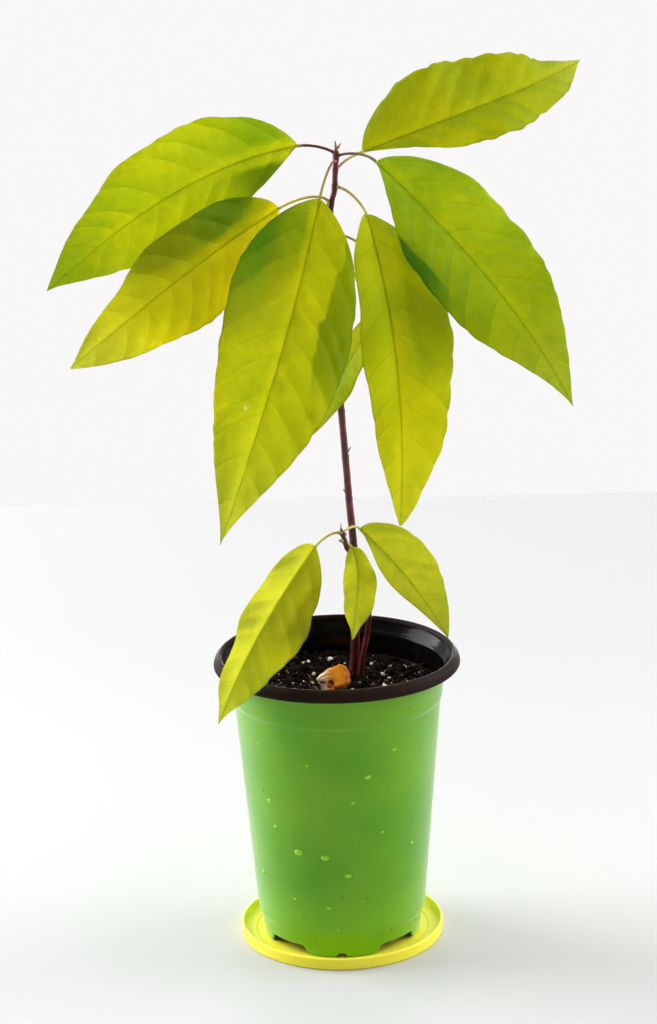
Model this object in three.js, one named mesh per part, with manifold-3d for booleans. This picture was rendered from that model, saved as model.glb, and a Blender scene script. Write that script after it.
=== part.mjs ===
// Young avocado tree in a green nursery pot on a yellow saucer, in millimetres with Z up.
// The origin is the centre of the saucer's flat underside. The plant's front faces -Y.
import * as THREE from 'three';
import { ParametricGeometry } from 'three/addons/geometries/ParametricGeometry.js';
import { mergeVertices } from 'three/addons/utils/BufferGeometryUtils.js';
import Module from 'manifold-3d';

const wasm = await Module();
wasm.setup();

const GAP = 0.3;
const SLIVER = 0.03;
const ROUND = 48;
const DEG = Math.PI / 180;

// Saucer: a shallow dish with an upright wall and a low step round its floor.
const SAUCER = {
  radius: 54.1,
  height: 6.5,
  floor: 1.5,
  wall: 1.4,
  stepRadius: 46,
  stepHeight: 0.5,
  edge: 0.5,
};

// Pot: one formed sheet with a recessed foot, a tapered wall, a straight band and a turned-out lip.
const POT = {
  sheet: 1.2,
  footRadius: 41.5,
  footTopRadius: 43.6,
  footHeight: 12.2,
  floorHeight: 10.4,
  wallLowRadius: 44.8,
  wallHighRadius: 54.3,
  shoulderHeight: 134.4,
  bandRadius: 57,
  bandTop: 147.6,
};

// Lip: how far each point stands out from the band and above its top, going over and inwards.
const LIP_OUTLINE = [
  [1.2, 1.2],
  [6.4, 1.6],
  [7.8, 2.6],
  [8, 3.6],
  [7.1, 6.4],
  [5.7, 8.3],
  [4.4, 8.6],
  [3.4, 7.7],
  [2.9, 5.8],
  [0.6, 2],
];

// Openings in the foot: four wide notches on the diagonals and one small one at the front.
const FOOT_NOTCH = {
  topWidth: 21,
  bottomWidth: 31,
  height: 5,
  innerReach: 35,
  outerReach: 47,
};
const SMALL_NOTCH = { width: 4.8, height: 2, east: -0.6 };
const DRAIN = { radius: 4, ring: 27, count: 5 };

// Soil: fills the pot up to this height above the foot; its surface is lumpy.
const SOIL = {
  level: 137.9,
  edgeDrop: 0.5,
  lump: 0.7,
  calmRadius: 10,
  calmEdge: 18,
  settle: 0.3,
  rings: [51, 44, 37, 30, 23, 16, 9, 4],
  around: 32,
};

// Waves that make up the soil's lumps: turns per mm east and north, phase and share.
const LUMP_WAVES = [
  { east: 0.31, north: 0.14, phase: 0.9, share: 1 },
  { east: -0.12, north: 0.36, phase: 0.4, share: 0.7 },
  { east: 0.52, north: -0.47, phase: 2.1, share: 0.6 },
  { east: 0.83, north: 0.61, phase: 1.3, share: 0.4 },
];

// Seed: the broken stone the plant grew from, half sunk in the soil.
const SEED = {
  east: -4.4,
  north: -2.6,
  halfWidth: 9,
  halfDepth: 7.4,
  height: 11,
  depth: 5,
  eastLean: 0.42,
  northLean: 0.3,
  blunt: 0.8,
  shoulder: 0.75,
  rows: 8,
  around: 18,
};

// Stems: height above the soil, east, north and thickness at each station from base to tip.
const MAIN_STEM = [
  [0, 9, 16.5, 6],
  [4, 9.3, 15.5, 5.1],
  [20, 10, 12, 4.9],
  [49, 10, 8, 4.4],
  [75, 10, 5, 4],
  [100, 8.2, 3, 3.8],
  [126, 6.6, 1.5, 3.6],
  [152, 5, 0.5, 3.4],
  [191, 3.8, 0, 3.2],
  [223, 2.9, 0, 3],
  [256, 2.1, 0, 2.9],
  [264, 4, 0, 2.8],
  [271, 4.4, 0, 2.7],
  [282.5, 5.2, 0, 2.5],
  [285, 5.1, 0, 1.5],
  [288.6, 4.8, 0, 0.7],
];
const SIDE_SHOOT = [
  [0, 12.4, 12, 4],
  [4, 12.8, 11.2, 3.5],
  [12.5, 13.9, 9, 3.4],
  [25, 16.2, 6, 3.2],
  [37, 17.4, 3, 3.1],
  [52, 16.6, -1, 3],
  [67, 12.1, -5, 2.9],
  [77.5, 6.6, -7, 3.2],
  [84.3, 4.6, -7, 2.9],
  [87.5, 3.7, -7, 1.8],
  [91, 3.7, -7, 0.7],
];

// Small buds on the stems: which stem, height, compass swing, lift, length and thickness.
const BUDS = [
  { stem: 'main', height: 125, swing: 0, lift: 50, reach: 5, thick: 1 },
  { stem: 'main', height: 102, swing: 180, lift: 52, reach: 5, thick: 1 },
  { stem: 'main', height: 253, swing: 150, lift: 58, reach: 5, thick: 1.8 },
  { stem: 'main', height: 284, swing: 350, lift: 48, reach: 4.2, thick: 1 },
  { stem: 'shoot', height: 81, swing: 215, lift: 5, reach: 4, thick: 2 },
];

// Turn of every bud's six sides about its own length, in degrees.
const BUD_TURN = 17;

// Leaf build: share of the length that is thickness, and how the petiole and blade are drawn.
const LEAF = {
  thickShare: 0.0115,
  petioleRadius: 0.85,
  smallPetioleRadius: 0.35,
  petiolePerLength: 0.006,
  petioleSteps: 7,
  startPull: 0.36,
  endPull: 0.28,
  fold: 10,
  curl: -14,
  tipHalfWidth: 0.6,
  tipShare: 0.996,
  droopEase: 1.5,
  ridge: 1.1,
  ridgeFade: 1.5,
  blendShare: 0.05,
  waveEnds: 0.6,
  edgeLag: 140,
  evenness: 0.55,
};
const WIDE_COLUMNS = [-1, -0.7, -0.35, 0, 0.35, 0.7, 1];
const SMALL_COLUMNS = [-1, -0.55, 0, 0.55, 1];
const SMALL_LENGTH = 120;

// Each leaf: where it leaves its stem, the swing and lift of its petiole, where its blade begins,
// the blade's heading and turn, its rise and droop, its roll and twist (degrees), its length, the
// width of its left and right halves with the share of the length at which each is widest and how
// full it is, and the waves of its edge.
const LEAVES = [
  {
    name: 'leaf_upper_right', stem: 'main', height: 273.5, swing: 57, lift: 30,
    base: [18.5, 16, 280], heading: 3.5, turn: 56, rise: 20, droop: -11, roll: 59, twist: 11,
    length: 147, left: 31, leftAt: 0.33, leftFull: 2.2, right: 20, rightAt: 0.53, rightFull: 2.4,
    wave: 3.8, waves: 2.9, phase: 150, steps: 16,
  },
  {
    name: 'leaf_upper_left', stem: 'main', height: 282, swing: 175, lift: 33,
    base: [-14, 0, 286.5], heading: 204.5, turn: -6, rise: -4, droop: -34, roll: -88, twist: -24,
    length: 149.5, left: 31, leftAt: 0.47, leftFull: 2.35, right: 32.5, rightAt: 0.45,
    rightFull: 1.75, wave: 1.4, waves: 3.8, phase: 30, steps: 16,
  },
  {
    name: 'leaf_right', stem: 'main', height: 280.5, swing: 325, lift: 21,
    base: [25, -13, 280], heading: 352.5, turn: -52, rise: -43.5, droop: -1, roll: 37, twist: -4,
    length: 161, left: 33.5, leftAt: 0.35, leftFull: 1.85, right: 31.5, rightAt: 0.43,
    rightFull: 2.55, wave: 2.4, waves: 2.3, phase: 290, steps: 16,
  },
  {
    name: 'leaf_left', stem: 'main', height: 256, swing: 200, lift: 69,
    base: [-24, -10, 257], heading: 219, turn: -5, rise: -20, droop: -10, roll: -81, twist: 10,
    length: 141, left: 26.5, leftAt: 0.43, leftFull: 1.6, right: 24, rightAt: 0.38,
    rightFull: 1.8, wave: 4.7, waves: 2.7, phase: -30, steps: 16,
  },
  {
    name: 'leaf_front', stem: 'main', height: 278, swing: 248, lift: 13,
    base: [-3.5, -15, 262.5], heading: 234.5, turn: 7, rise: -68, droop: 18, roll: -51, twist: -7,
    length: 184, left: 36.5, leftAt: 0.37, leftFull: 2.25, right: 39, rightAt: 0.35,
    rightFull: 2.05, wave: 6.5, waves: 1.1, phase: 170, steps: 16,
  },
  {
    name: 'leaf_front_right', stem: 'main', height: 265.5, swing: 337, lift: 2,
    base: [19.5, -8, 253], heading: 283.5, turn: 11, rise: -30.5, droop: -68, roll: -20, twist: 34,
    length: 168.5, left: 32, leftAt: 0.37, leftFull: 1.35, right: 18.5, rightAt: 0.43,
    rightFull: 1.75, wave: 2.3, waves: 3.4, phase: 280, steps: 16,
  },
  {
    name: 'leaf_inner', stem: 'main', height: 238.8, swing: 357, lift: 18,
    base: [27.5, -10, 211], heading: 188.5, turn: 17, rise: -64, droop: 9, roll: -21, twist: -10,
    length: 82, left: 11.5, leftAt: 0.48, leftFull: 1.5, right: 10, rightAt: 0.49,
    rightFull: 1.95, wave: 1, waves: 2.7, phase: -10, steps: 12,
  },
  {
    name: 'leaf_back_left', stem: 'main', height: 228, swing: 128, lift: 30,
    base: [-13, 18.5, 232.5], heading: 130, turn: 15, rise: 5, droop: -55, roll: 10, twist: -5,
    length: 140, left: 24, leftAt: 0.42, leftFull: 1.9, right: 24, rightAt: 0.4,
    rightFull: 1.8, wave: 2.2, waves: 2.6, phase: 50, steps: 16,
  },
  {
    name: 'leaf_back_right', stem: 'main', height: 212, swing: 50, lift: 28,
    base: [22.5, 19, 215.5], heading: 48, turn: -6, rise: 2, droop: -45, roll: 0, twist: 4,
    length: 140, left: 24, leftAt: 0.4, leftFull: 1.8, right: 24, rightAt: 0.43,
    rightFull: 1.9, wave: 2.2, waves: 2.8, phase: 200, steps: 16,
  },
  {
    name: 'leaf_back_middle', stem: 'main', height: 200, swing: 97, lift: 28,
    base: [0.5, 26.5, 207], heading: 98, turn: -4, rise: 8, droop: -46, roll: 5, twist: -4,
    length: 130, left: 22, leftAt: 0.41, leftFull: 1.8, right: 22, rightAt: 0.43,
    rightFull: 1.9, wave: 2, waves: 2.7, phase: 120, steps: 16,
  },
  {
    name: 'leaf_shoot_left', stem: 'shoot', height: 85.5, swing: 205, lift: 21,
    base: [-9.5, -13, 80.5], heading: 222.5, turn: 27, rise: -39, droop: 3, roll: -54, twist: -1,
    length: 114, left: 22.5, leftAt: 0.41, leftFull: 2.1, right: 13.5, rightAt: 0.37,
    rightFull: 1.2, wave: 3.4, waves: 3, phase: -20, steps: 14,
  },
  {
    name: 'leaf_shoot_small', stem: 'shoot', height: 80, swing: 320, lift: 10,
    base: [9, -9, 78.5], heading: 295.5, turn: -70, rise: -38, droop: -38, roll: -6, twist: 5,
    length: 50.5, left: 10, leftAt: 0.44, leftFull: 1.45, right: 8, rightAt: 0.41,
    rightFull: 1.65, wave: 2.5, waves: 2.3, phase: 80, steps: 10,
  },
  {
    name: 'leaf_shoot_right', stem: 'shoot', height: 86, swing: 47, lift: 5,
    base: [13.5, 2, 85], heading: 350, turn: -32, rise: -42, droop: -9, roll: 24, twist: 3,
    length: 74, left: 22, leftAt: 0.37, leftFull: 1.65, right: 10.5, rightAt: 0.42,
    rightFull: 2.35, wave: 1.4, waves: 1.2, phase: 310, steps: 12,
  },
];

const COLOUR = {
  saucer: 0xe4e63a,
  pot: 0x62a028,
  soil: 0x1b1512,
  seed: 0xe0923a,
  stem: 0x5a1c1a,
  leaf: 0x9fb02a,
};

// A closed three.js geometry as a solid, with its faces turned outwards.
function toSolid(geometry) {
  const bare = geometry.clone();
  bare.deleteAttribute('normal');
  bare.deleteAttribute('uv');
  const merged = mergeVertices(bare, 1e-4);
  const corners = merged.index.array;
  const kept = [];
  for (let i = 0; i < corners.length; i += 3) {
    const [a, b, c] = corners.slice(i, i + 3);
    if (a !== b && b !== c && c !== a) kept.push(a, b, c);
  }
  const build = (triVerts) => new wasm.Manifold(new wasm.Mesh({
    numProp: 3,
    vertProperties: new Float32Array(merged.attributes.position.array),
    triVerts: new Uint32Array(triVerts),
  }));
  const solid = build(kept);
  if (solid.volume() > 0) return solid;
  return build(kept.slice().reverse());
}

function toGeometry(solid) {
  const mesh = solid.getMesh();
  const geometry = new THREE.BufferGeometry();
  geometry.setAttribute('position', new THREE.BufferAttribute(mesh.vertProperties, 3));
  geometry.setIndex(new THREE.BufferAttribute(mesh.triVerts, 1));
  geometry.computeVertexNormals();
  return geometry;
}

function toMesh(name, solid, colour, roughness) {
  const material = new THREE.MeshStandardMaterial({ color: colour, roughness, metalness: 0 });
  const mesh = new THREE.Mesh(toGeometry(solid), material);
  mesh.name = name;
  return mesh;
}

// The largest body of a joined or cut solid, without the crumbs and slivers the cut left.
function mainBody(solid) {
  const largest = solid.decompose().sort((a, b) => b.volume() - a.volume())[0];
  return largest.setTolerance(SLIVER).simplify(SLIVER);
}

// A closed skin through rings of points: ring(row, share) gives a point on ring `row` at `share`
// of the way round it, and centre(row) gives the middle of the two end rings.
function skin(rows, around, ring, centre) {
  const last = rows - 1;
  const geometry = new ParametricGeometry((u, v, target) => {
    const level = Math.round(v * (rows + 1)) - 1;
    if (level < 0) target.copy(centre(0));
    else if (level > last) target.copy(centre(last));
    else target.copy(ring(level, Math.round(u * around) % around));
  }, around, rows + 1);
  return toSolid(geometry);
}

// A solid of revolution about Z from a profile of [radius, height] pairs.
function turned(profile, segments) {
  const points = profile.map(([radius, height]) => new THREE.Vector2(radius, height));
  return toSolid(new THREE.LatheGeometry(points, segments).rotateX(Math.PI / 2));
}

function smooth(edge0, edge1, x) {
  return THREE.MathUtils.smoothstep(x, edge0, edge1);
}

// Saucer
function makeSaucer() {
  const { radius, height, floor, wall, stepRadius, stepHeight, edge } = SAUCER;
  const inner = radius - wall;
  return turned([
    [0, 0],
    [radius - edge, 0],
    [radius, edge],
    [radius, height - edge],
    [radius - edge, height],
    [inner + edge, height],
    [inner, height - edge],
    [inner, floor + 2 * stepHeight],
    [inner - edge, floor + stepHeight],
    [stepRadius + stepHeight, floor + stepHeight],
    [stepRadius, floor],
    [0, floor],
  ], ROUND);
}

// Pot: outside going up, over the lip and down the inside.
function makePot() {
  const { sheet, bandRadius, bandTop } = POT;
  const lip = LIP_OUTLINE.map(([out, up]) => [bandRadius + out, bandTop + up]);
  const body = turned([
    [0, POT.floorHeight],
    [POT.footTopRadius - sheet - 0.2, POT.floorHeight],
    [POT.footRadius - sheet, 0],
    [POT.footRadius, 0],
    [POT.footTopRadius, POT.footHeight],
    [POT.wallLowRadius, POT.footHeight + 0.9],
    [POT.wallHighRadius, POT.shoulderHeight],
    [bandRadius, POT.shoulderHeight + sheet],
    [bandRadius, bandTop],
    ...lip,
    [bandRadius - sheet, bandTop + sheet / 2],
    [bandRadius - sheet, POT.shoulderHeight + 2 * sheet],
    [POT.wallHighRadius - sheet, POT.shoulderHeight + 0.4],
    [POT.wallLowRadius - sheet, POT.footHeight + 0.9],
    [POT.footTopRadius - 0.5, POT.floorHeight + sheet],
    [0, POT.floorHeight + sheet],
  ], ROUND);
  const cuts = [...footNotches(), smallNotch(), ...drainHoles()];
  return mainBody(cuts.reduce((pot, cut) => pot.subtract(cut), body));
}

function footNotches() {
  const { topWidth, bottomWidth, height, innerReach, outerReach } = FOOT_NOTCH;
  const outline = new THREE.Shape();
  outline.moveTo(-bottomWidth / 2, -1);
  outline.lineTo(bottomWidth / 2, -1);
  outline.lineTo(topWidth / 2, height);
  outline.lineTo(-topWidth / 2, height);
  const depth = outerReach - innerReach;
  return [45, 135, 225, 315].map((angle) => {
    const prism = new THREE.ExtrudeGeometry(outline, { depth, bevelEnabled: false });
    prism.rotateX(Math.PI / 2);
    prism.translate(0, -innerReach, 0);
    prism.rotateZ(angle * DEG);
    return toSolid(prism);
  });
}

function smallNotch() {
  const { width, height, east } = SMALL_NOTCH;
  const box = new THREE.BoxGeometry(width, 6, 2 * height);
  box.translate(east, -POT.footRadius + 0.6, 0);
  return toSolid(box);
}

function drainHoles() {
  return Array.from({ length: DRAIN.count }, (_, i) => {
    const angle = (90 + 360 * i / DRAIN.count) * DEG;
    const hole = new THREE.CylinderGeometry(DRAIN.radius, DRAIN.radius, 4 * POT.sheet, 14);
    hole.rotateX(Math.PI / 2);
    hole.translate(
      DRAIN.ring * Math.cos(angle),
      DRAIN.ring * Math.sin(angle),
      POT.floorHeight + POT.sheet / 2,
    );
    return toSolid(hole);
  });
}

// Seed: a leaning, blunt-cornered lump; `extra` makes it larger all round for its pocket.
function seedSolid(extra) {
  const { halfWidth, halfDepth, height, depth, eastLean, northLean, rows, around } = SEED;
  const blunt = (value) => Math.sign(value) * Math.abs(value) ** SEED.blunt;
  const place = (lift, turn) => {
    const up = Math.sin(lift);
    const out = Math.cos(lift) ** SEED.shoulder;
    const tall = up > 0 ? height + extra : depth + extra;
    const z = tall * up;
    const above = Math.max(z, 0);
    const x = (halfWidth + extra) * out * blunt(Math.cos(turn)) + eastLean * above;
    const y = (halfDepth + extra) * out * blunt(Math.sin(turn)) + northLean * above;
    return new THREE.Vector3(SEED.east + x, SEED.north + y, z);
  };
  const liftOf = (row) => (-80 + 160 * row / (rows - 1)) * DEG;
  const pole = (row) => place(row === 0 ? -Math.PI / 2 : Math.PI / 2, 0);
  return skin(rows, around, (row, i) => place(liftOf(row), 2 * Math.PI * i / around), pole);
}

// Height of the soil above its own level at a point, calm round the stems.
function lumps(x, y) {
  const wavy = LUMP_WAVES.reduce((sum, { east, north, phase, share }) => (
    sum + share * Math.sin(east * x + north * y + phase)
  ), 0);
  const away = Math.hypot(x - MAIN_STEM[0][1], y - MAIN_STEM[0][2]);
  return SOIL.lump * wavy * smooth(SOIL.calmRadius, SOIL.calmEdge, away) - SOIL.settle;
}

// Soil: fills the pot from its floor to the soil level, with a pocket for the seed.
function makeSoil() {
  const { sheet } = POT;
  const inside = GAP + sheet;
  const wall = [
    [POT.footTopRadius - 0.6 - GAP, POT.floorHeight + inside],
    [POT.wallLowRadius - inside - 0.1, POT.footHeight + 1.2],
    [POT.wallHighRadius - inside - 0.1, POT.shoulderHeight + 0.7],
    [POT.bandRadius - inside - 0.1, POT.shoulderHeight + 2.9],
    [POT.bandRadius - inside - 0.1, SOIL.level - SOIL.edgeDrop],
  ];
  const { rings, around } = SOIL;
  const rows = wall.length + rings.length;
  const point = (row, i) => {
    const angle = 2 * Math.PI * i / around;
    const onWall = row < wall.length;
    const radius = onWall ? wall[row][0] : rings[row - wall.length];
    const x = radius * Math.cos(angle);
    const y = radius * Math.sin(angle);
    return new THREE.Vector3(x, y, onWall ? wall[row][1] : SOIL.level + lumps(x, y));
  };
  const middle = (row) => new THREE.Vector3(0, 0, row === 0 ? wall[0][1] : SOIL.level + lumps(0, 0));
  const pocket = seedSolid(GAP + 0.1).translate([0, 0, SOIL.level + GAP]);
  return mainBody(skin(rows, around, point, middle).subtract(pocket));
}

// The smooth centre line of a stem through its stations.
function stemLine(stations) {
  const points = stations.map(([height, east, north]) => new THREE.Vector3(east, north, height));
  return new THREE.CatmullRomCurve3(points, false, 'centripetal');
}

// Which span of a stem a height lies in, and how far up that span.
function stemSpan(stations, height) {
  const upper = stations.findIndex(([level]) => level >= height);
  const span = Math.max(upper, 1) - 1;
  const within = (height - stations[span][0]) / (stations[span + 1][0] - stations[span][0]);
  return { span, within };
}

// The point on a stem's centre line at a height.
function onStem(stations, height) {
  const { span, within } = stemSpan(stations, height);
  return stemLine(stations).getPoint((span + within) / (stations.length - 1));
}

function stemRadius(stations, height) {
  const { span, within } = stemSpan(stations, height);
  return THREE.MathUtils.lerp(stations[span][3], stations[span + 1][3], within) / 2;
}

// A stem: level rings about its centre line, with its buds fused on.
function stemSolid(stem, stations) {
  const line = stemLine(stations);
  const spans = stations.length - 1;
  const perSpan = 2;
  const rows = spans * perSpan + 1;
  const around = 8;
  const spot = (row) => {
    const share = row / (rows - 1);
    const span = Math.min(Math.floor(row / perSpan), spans - 1);
    const within = row / perSpan - span;
    const thick = THREE.MathUtils.lerp(stations[span][3], stations[span + 1][3], within);
    return { middle: line.getPoint(share), radius: thick / 2 };
  };
  const ring = (row, i) => {
    const { middle, radius } = spot(row);
    const angle = 2 * Math.PI * i / around;
    return middle.add(new THREE.Vector3(radius * Math.cos(angle), radius * Math.sin(angle), 0));
  };
  return budsOn(stem, stations, skin(rows, around, ring, (row) => spot(row).middle));
}

function direction(swing, lift) {
  const level = Math.cos(lift * DEG);
  return new THREE.Vector3(
    level * Math.cos(swing * DEG),
    level * Math.sin(swing * DEG),
    Math.sin(lift * DEG),
  );
}

// A bud: a small pointed cone fused to its stem.
function budSolid(stations, { height, swing, lift, reach, thick }) {
  const cone = new THREE.CylinderGeometry(thick / 6, thick / 2, reach, 6);
  cone.translate(0, reach / 2, 0);
  cone.rotateY(BUD_TURN * DEG);
  const along = direction(swing, lift);
  cone.applyQuaternion(new THREE.Quaternion().setFromUnitVectors(new THREE.Vector3(0, 1, 0), along));
  const root = onStem(stations, height);
  cone.translate(root.x, root.y, root.z);
  return toSolid(cone);
}

function budsOn(stem, stations, solid) {
  const own = BUDS.filter((bud) => bud.stem === stem);
  return mainBody(own.reduce((whole, bud) => whole.add(budSolid(stations, bud)), solid));
}

// How far one half of a blade reaches at a share of its length.
function halfWidth(share, width, at, full) {
  const t = THREE.MathUtils.clamp(share, 1e-6, 1 - 1e-6);
  return width * (t / at) ** (full * at) * ((1 - t) / (1 - at)) ** (full * (1 - at));
}

// Blade frame at a share of its length: its direction, its left-hand side and its upper face.
function bladeFrame(leaf, t) {
  const heading = (leaf.heading + leaf.turn * t) * DEG;
  const pitch = (leaf.rise + leaf.droop * (1 - (1 - t) ** LEAF.droopEase)) * DEG;
  const roll = (leaf.roll + leaf.twist * t) * DEG;
  const along = new THREE.Vector3(
    Math.cos(pitch) * Math.cos(heading),
    Math.cos(pitch) * Math.sin(heading),
    Math.sin(pitch),
  );
  const side = new THREE.Vector3(-Math.sin(heading), Math.cos(heading), 0);
  const up = along.clone().cross(side);
  const left = side.clone().multiplyScalar(Math.cos(roll)).addScaledVector(up, Math.sin(roll));
  const face = up.multiplyScalar(Math.cos(roll)).addScaledVector(side, -Math.sin(roll));
  return { along, left, face };
}

// Midrib points at the given shares, added up in fine steps from the blade's base.
function midrib(leaf, shares) {
  const fine = 240;
  const line = [new THREE.Vector3(...leaf.base)];
  for (let i = 0; i < fine; i += 1) {
    const mean = bladeFrame(leaf, i / fine).along.add(bladeFrame(leaf, (i + 1) / fine).along);
    line.push(line[i].clone().addScaledVector(mean, leaf.length / fine / 2));
  }
  return shares.map((share) => line[Math.round(share * fine)].clone());
}

// Offset of a blade point from the midrib at signed share `across` of the half width.
function bladeOffset(leaf, t, frame, across) {
  const leftHand = across >= 0;
  const reach = Math.abs(across);
  const width = leftHand
    ? halfWidth(t, leaf.left, leaf.leftAt, leaf.leftFull)
    : halfWidth(t, leaf.right, leaf.rightAt, leaf.rightFull);
  const wide = Math.max(width, LEAF.tipHalfWidth) * reach;
  const bend = (LEAF.fold + LEAF.curl * reach / 2) * DEG;
  const envelope = Math.sin(Math.PI * t) ** LEAF.waveEnds;
  const phase = (leaf.phase + (leftHand ? 0 : LEAF.edgeLag)) * DEG;
  const wave = leaf.wave * reach ** 2 * envelope * Math.sin(2 * Math.PI * leaf.waves * t + phase);
  const sideways = (leftHand ? 1 : -1) * wide * Math.cos(bend);
  return frame.left.clone().multiplyScalar(sideways)
    .addScaledVector(frame.face, wide * Math.sin(bend) + wave);
}

// Shares of the length at which the blade has rings, closer together near both ends.
function bladeShares(steps) {
  return Array.from({ length: steps + 1 }, (_, i) => {
    const even = i / steps;
    const eased = (1 - Math.cos(Math.PI * even)) / 2;
    return Math.min(THREE.MathUtils.lerp(eased, even, LEAF.evenness), LEAF.tipShare);
  });
}

// The plane on which a petiole begins: it lies along the stem, 0.3 mm clear of it.
function rootPlane(leaf, stations, slim) {
  const exit = leaf.height + stemRadius(stations, leaf.height) * Math.tan(leaf.lift * DEG);
  const upwards = onStem(stations, exit + 1).sub(onStem(stations, exit - 1)).normalize();
  const level = direction(leaf.swing, 0);
  const out = level.addScaledVector(upwards, -level.dot(upwards)).normalize();
  const reach = slim / Math.cos(leaf.lift * DEG);
  const surface = [-1, -0.5, 0, 0.5, 1].map((share) => {
    const height = exit + share * reach;
    return onStem(stations, height).dot(out) + stemRadius(stations, height);
  });
  return { out, away: Math.max(...surface) + GAP + 0.12 };
}

// Share of a petiole's curve at which it comes out through its root plane.
function rootShare(curve, { out, away }) {
  let inside = 0;
  let outside = 1;
  for (let i = 0; i < 30; i += 1) {
    const middle = (inside + outside) / 2;
    if (curve.getPoint(middle).dot(out) < away) inside = middle;
    else outside = middle;
  }
  return outside;
}

// A petiole's frames from its root to the blade, turned as little as possible on the way.
function petioleFrames(leaf, stations, slim) {
  const start = onStem(stations, leaf.height);
  const base = new THREE.Vector3(...leaf.base);
  const span = start.distanceTo(base);
  const first = bladeFrame(leaf, 0);
  const curve = new THREE.CubicBezierCurve3(
    start,
    start.clone().addScaledVector(direction(leaf.swing, leaf.lift), LEAF.startPull * span),
    base.clone().addScaledVector(first.along, -LEAF.endPull * span),
    base,
  );
  const plane = rootPlane(leaf, stations, slim);
  const root = rootShare(curve, plane);
  const frames = [];
  let left = first.left.clone();
  for (let i = LEAF.petioleSteps; i >= 0; i -= 1) {
    const share = THREE.MathUtils.lerp(root, 1, i / LEAF.petioleSteps);
    const along = curve.getTangent(share);
    left = left.clone().addScaledVector(along, -left.dot(along)).normalize();
    frames.unshift({ point: curve.getPoint(share), along, left, face: along.clone().cross(left) });
  }
  return { frames, plane };
}

// A leaf: petiole and blade in one skin, its root cut flat beside the stem it grows on.
function makeLeaf(leaf, stations) {
  const lean = LEAF.smallPetioleRadius + LEAF.petiolePerLength * leaf.length;
  const slim = Math.min(LEAF.petioleRadius, lean);
  const { frames: stalk, plane } = petioleFrames(leaf, stations, slim);
  const shares = bladeShares(leaf.steps);
  const spine = midrib(leaf, shares);
  const thick = LEAF.thickShare * leaf.length;
  const columns = leaf.length < SMALL_LENGTH ? SMALL_COLUMNS : WIDE_COLUMNS;
  const wide = columns.length;
  const round = (frame, column, top) => {
    const angle = Math.PI * (1 - (column + 0.5) / wide) * (top ? 1 : -1);
    return frame.left.clone().multiplyScalar(-slim * Math.cos(angle))
      .addScaledVector(frame.face, slim * Math.sin(angle));
  };
  const ontoPlane = (point, along) => {
    const short = (plane.away - point.dot(plane.out)) / along.dot(plane.out);
    return point.addScaledVector(along, short);
  };
  const ring = (row, i) => {
    const top = i < wide;
    const column = top ? i : 2 * wide - 1 - i;
    const across = -columns[column];
    if (row < stalk.length - 1) {
      const { point, along } = stalk[row];
      const rim = point.clone().add(round(stalk[row], column, top));
      return row === 0 ? ontoPlane(rim, along) : rim;
    }
    const step = row - stalk.length + 1;
    const t = shares[step];
    const frame = bladeFrame(leaf, t);
    const ridge = top || across !== 0 ? 0 : LEAF.ridge * (1 - t) ** LEAF.ridgeFade;
    const flat = bladeOffset(leaf, t, frame, across)
      .addScaledVector(frame.face, (top ? 0.5 : -0.5) * thick - ridge);
    const blend = smooth(0, LEAF.blendShare, t);
    const offset = round(frame, column, top).lerp(flat, blend);
    return spine[step].clone().add(offset);
  };
  const rows = stalk.length + shares.length - 1;
  const ends = (row) => (row === 0 ? stalk[0].point : spine[spine.length - 1]).clone();
  return skin(rows, 2 * wide, ring, ends);
}

// Assembly
const STEMS = { main: MAIN_STEM, shoot: SIDE_SHOOT };

const potGroup = new THREE.Group();
potGroup.position.z = SAUCER.floor + GAP;
potGroup.add(toMesh('pot', makePot(), COLOUR.pot, 0.4));
potGroup.add(toMesh('soil', makeSoil(), COLOUR.soil, 0.95));

const plantGroup = new THREE.Group();
plantGroup.position.z = SAUCER.floor + GAP + SOIL.level + GAP;
plantGroup.add(toMesh('seed', seedSolid(0), COLOUR.seed, 0.7));
for (const [stem, stations] of Object.entries(STEMS)) {
  plantGroup.add(toMesh(`${stem}_stem`, stemSolid(stem, stations), COLOUR.stem, 0.5));
}
for (const leaf of LEAVES) {
  plantGroup.add(toMesh(leaf.name, makeLeaf(leaf, STEMS[leaf.stem]), COLOUR.leaf, 0.5));
}

const tree = new THREE.Group();
tree.name = 'avocado_tree_in_pot';
tree.add(toMesh('saucer', makeSaucer(), COLOUR.saucer, 0.45));
tree.add(potGroup);
tree.add(plantGroup);

export default tree;
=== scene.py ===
"""Young avocado tree in a green pot on a yellow saucer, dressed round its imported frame.

Sizes are in millimetres and MM turns them into metres. Heights on the plant count from the soil,
and the pot's count from its foot. The front of the plant faces -Y.
"""

import logging
import math
from dataclasses import dataclass, field, replace
from enum import Enum, IntEnum

import bmesh
import bpy
import numpy as np
from mathutils import Matrix, Vector


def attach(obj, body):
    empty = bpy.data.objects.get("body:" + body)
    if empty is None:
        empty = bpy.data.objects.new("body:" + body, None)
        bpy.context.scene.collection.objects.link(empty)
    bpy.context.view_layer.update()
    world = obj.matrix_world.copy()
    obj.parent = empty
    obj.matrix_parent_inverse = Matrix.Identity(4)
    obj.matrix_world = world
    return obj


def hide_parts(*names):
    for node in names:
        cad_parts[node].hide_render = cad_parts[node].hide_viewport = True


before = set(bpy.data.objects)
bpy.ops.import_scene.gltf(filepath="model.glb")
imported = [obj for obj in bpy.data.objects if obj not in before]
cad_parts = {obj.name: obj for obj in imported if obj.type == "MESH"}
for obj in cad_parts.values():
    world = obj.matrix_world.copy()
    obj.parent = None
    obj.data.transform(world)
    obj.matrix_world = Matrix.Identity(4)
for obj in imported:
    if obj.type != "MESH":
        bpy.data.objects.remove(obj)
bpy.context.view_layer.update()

LOG = logging.getLogger("avocado")
MM = 0.001
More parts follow.
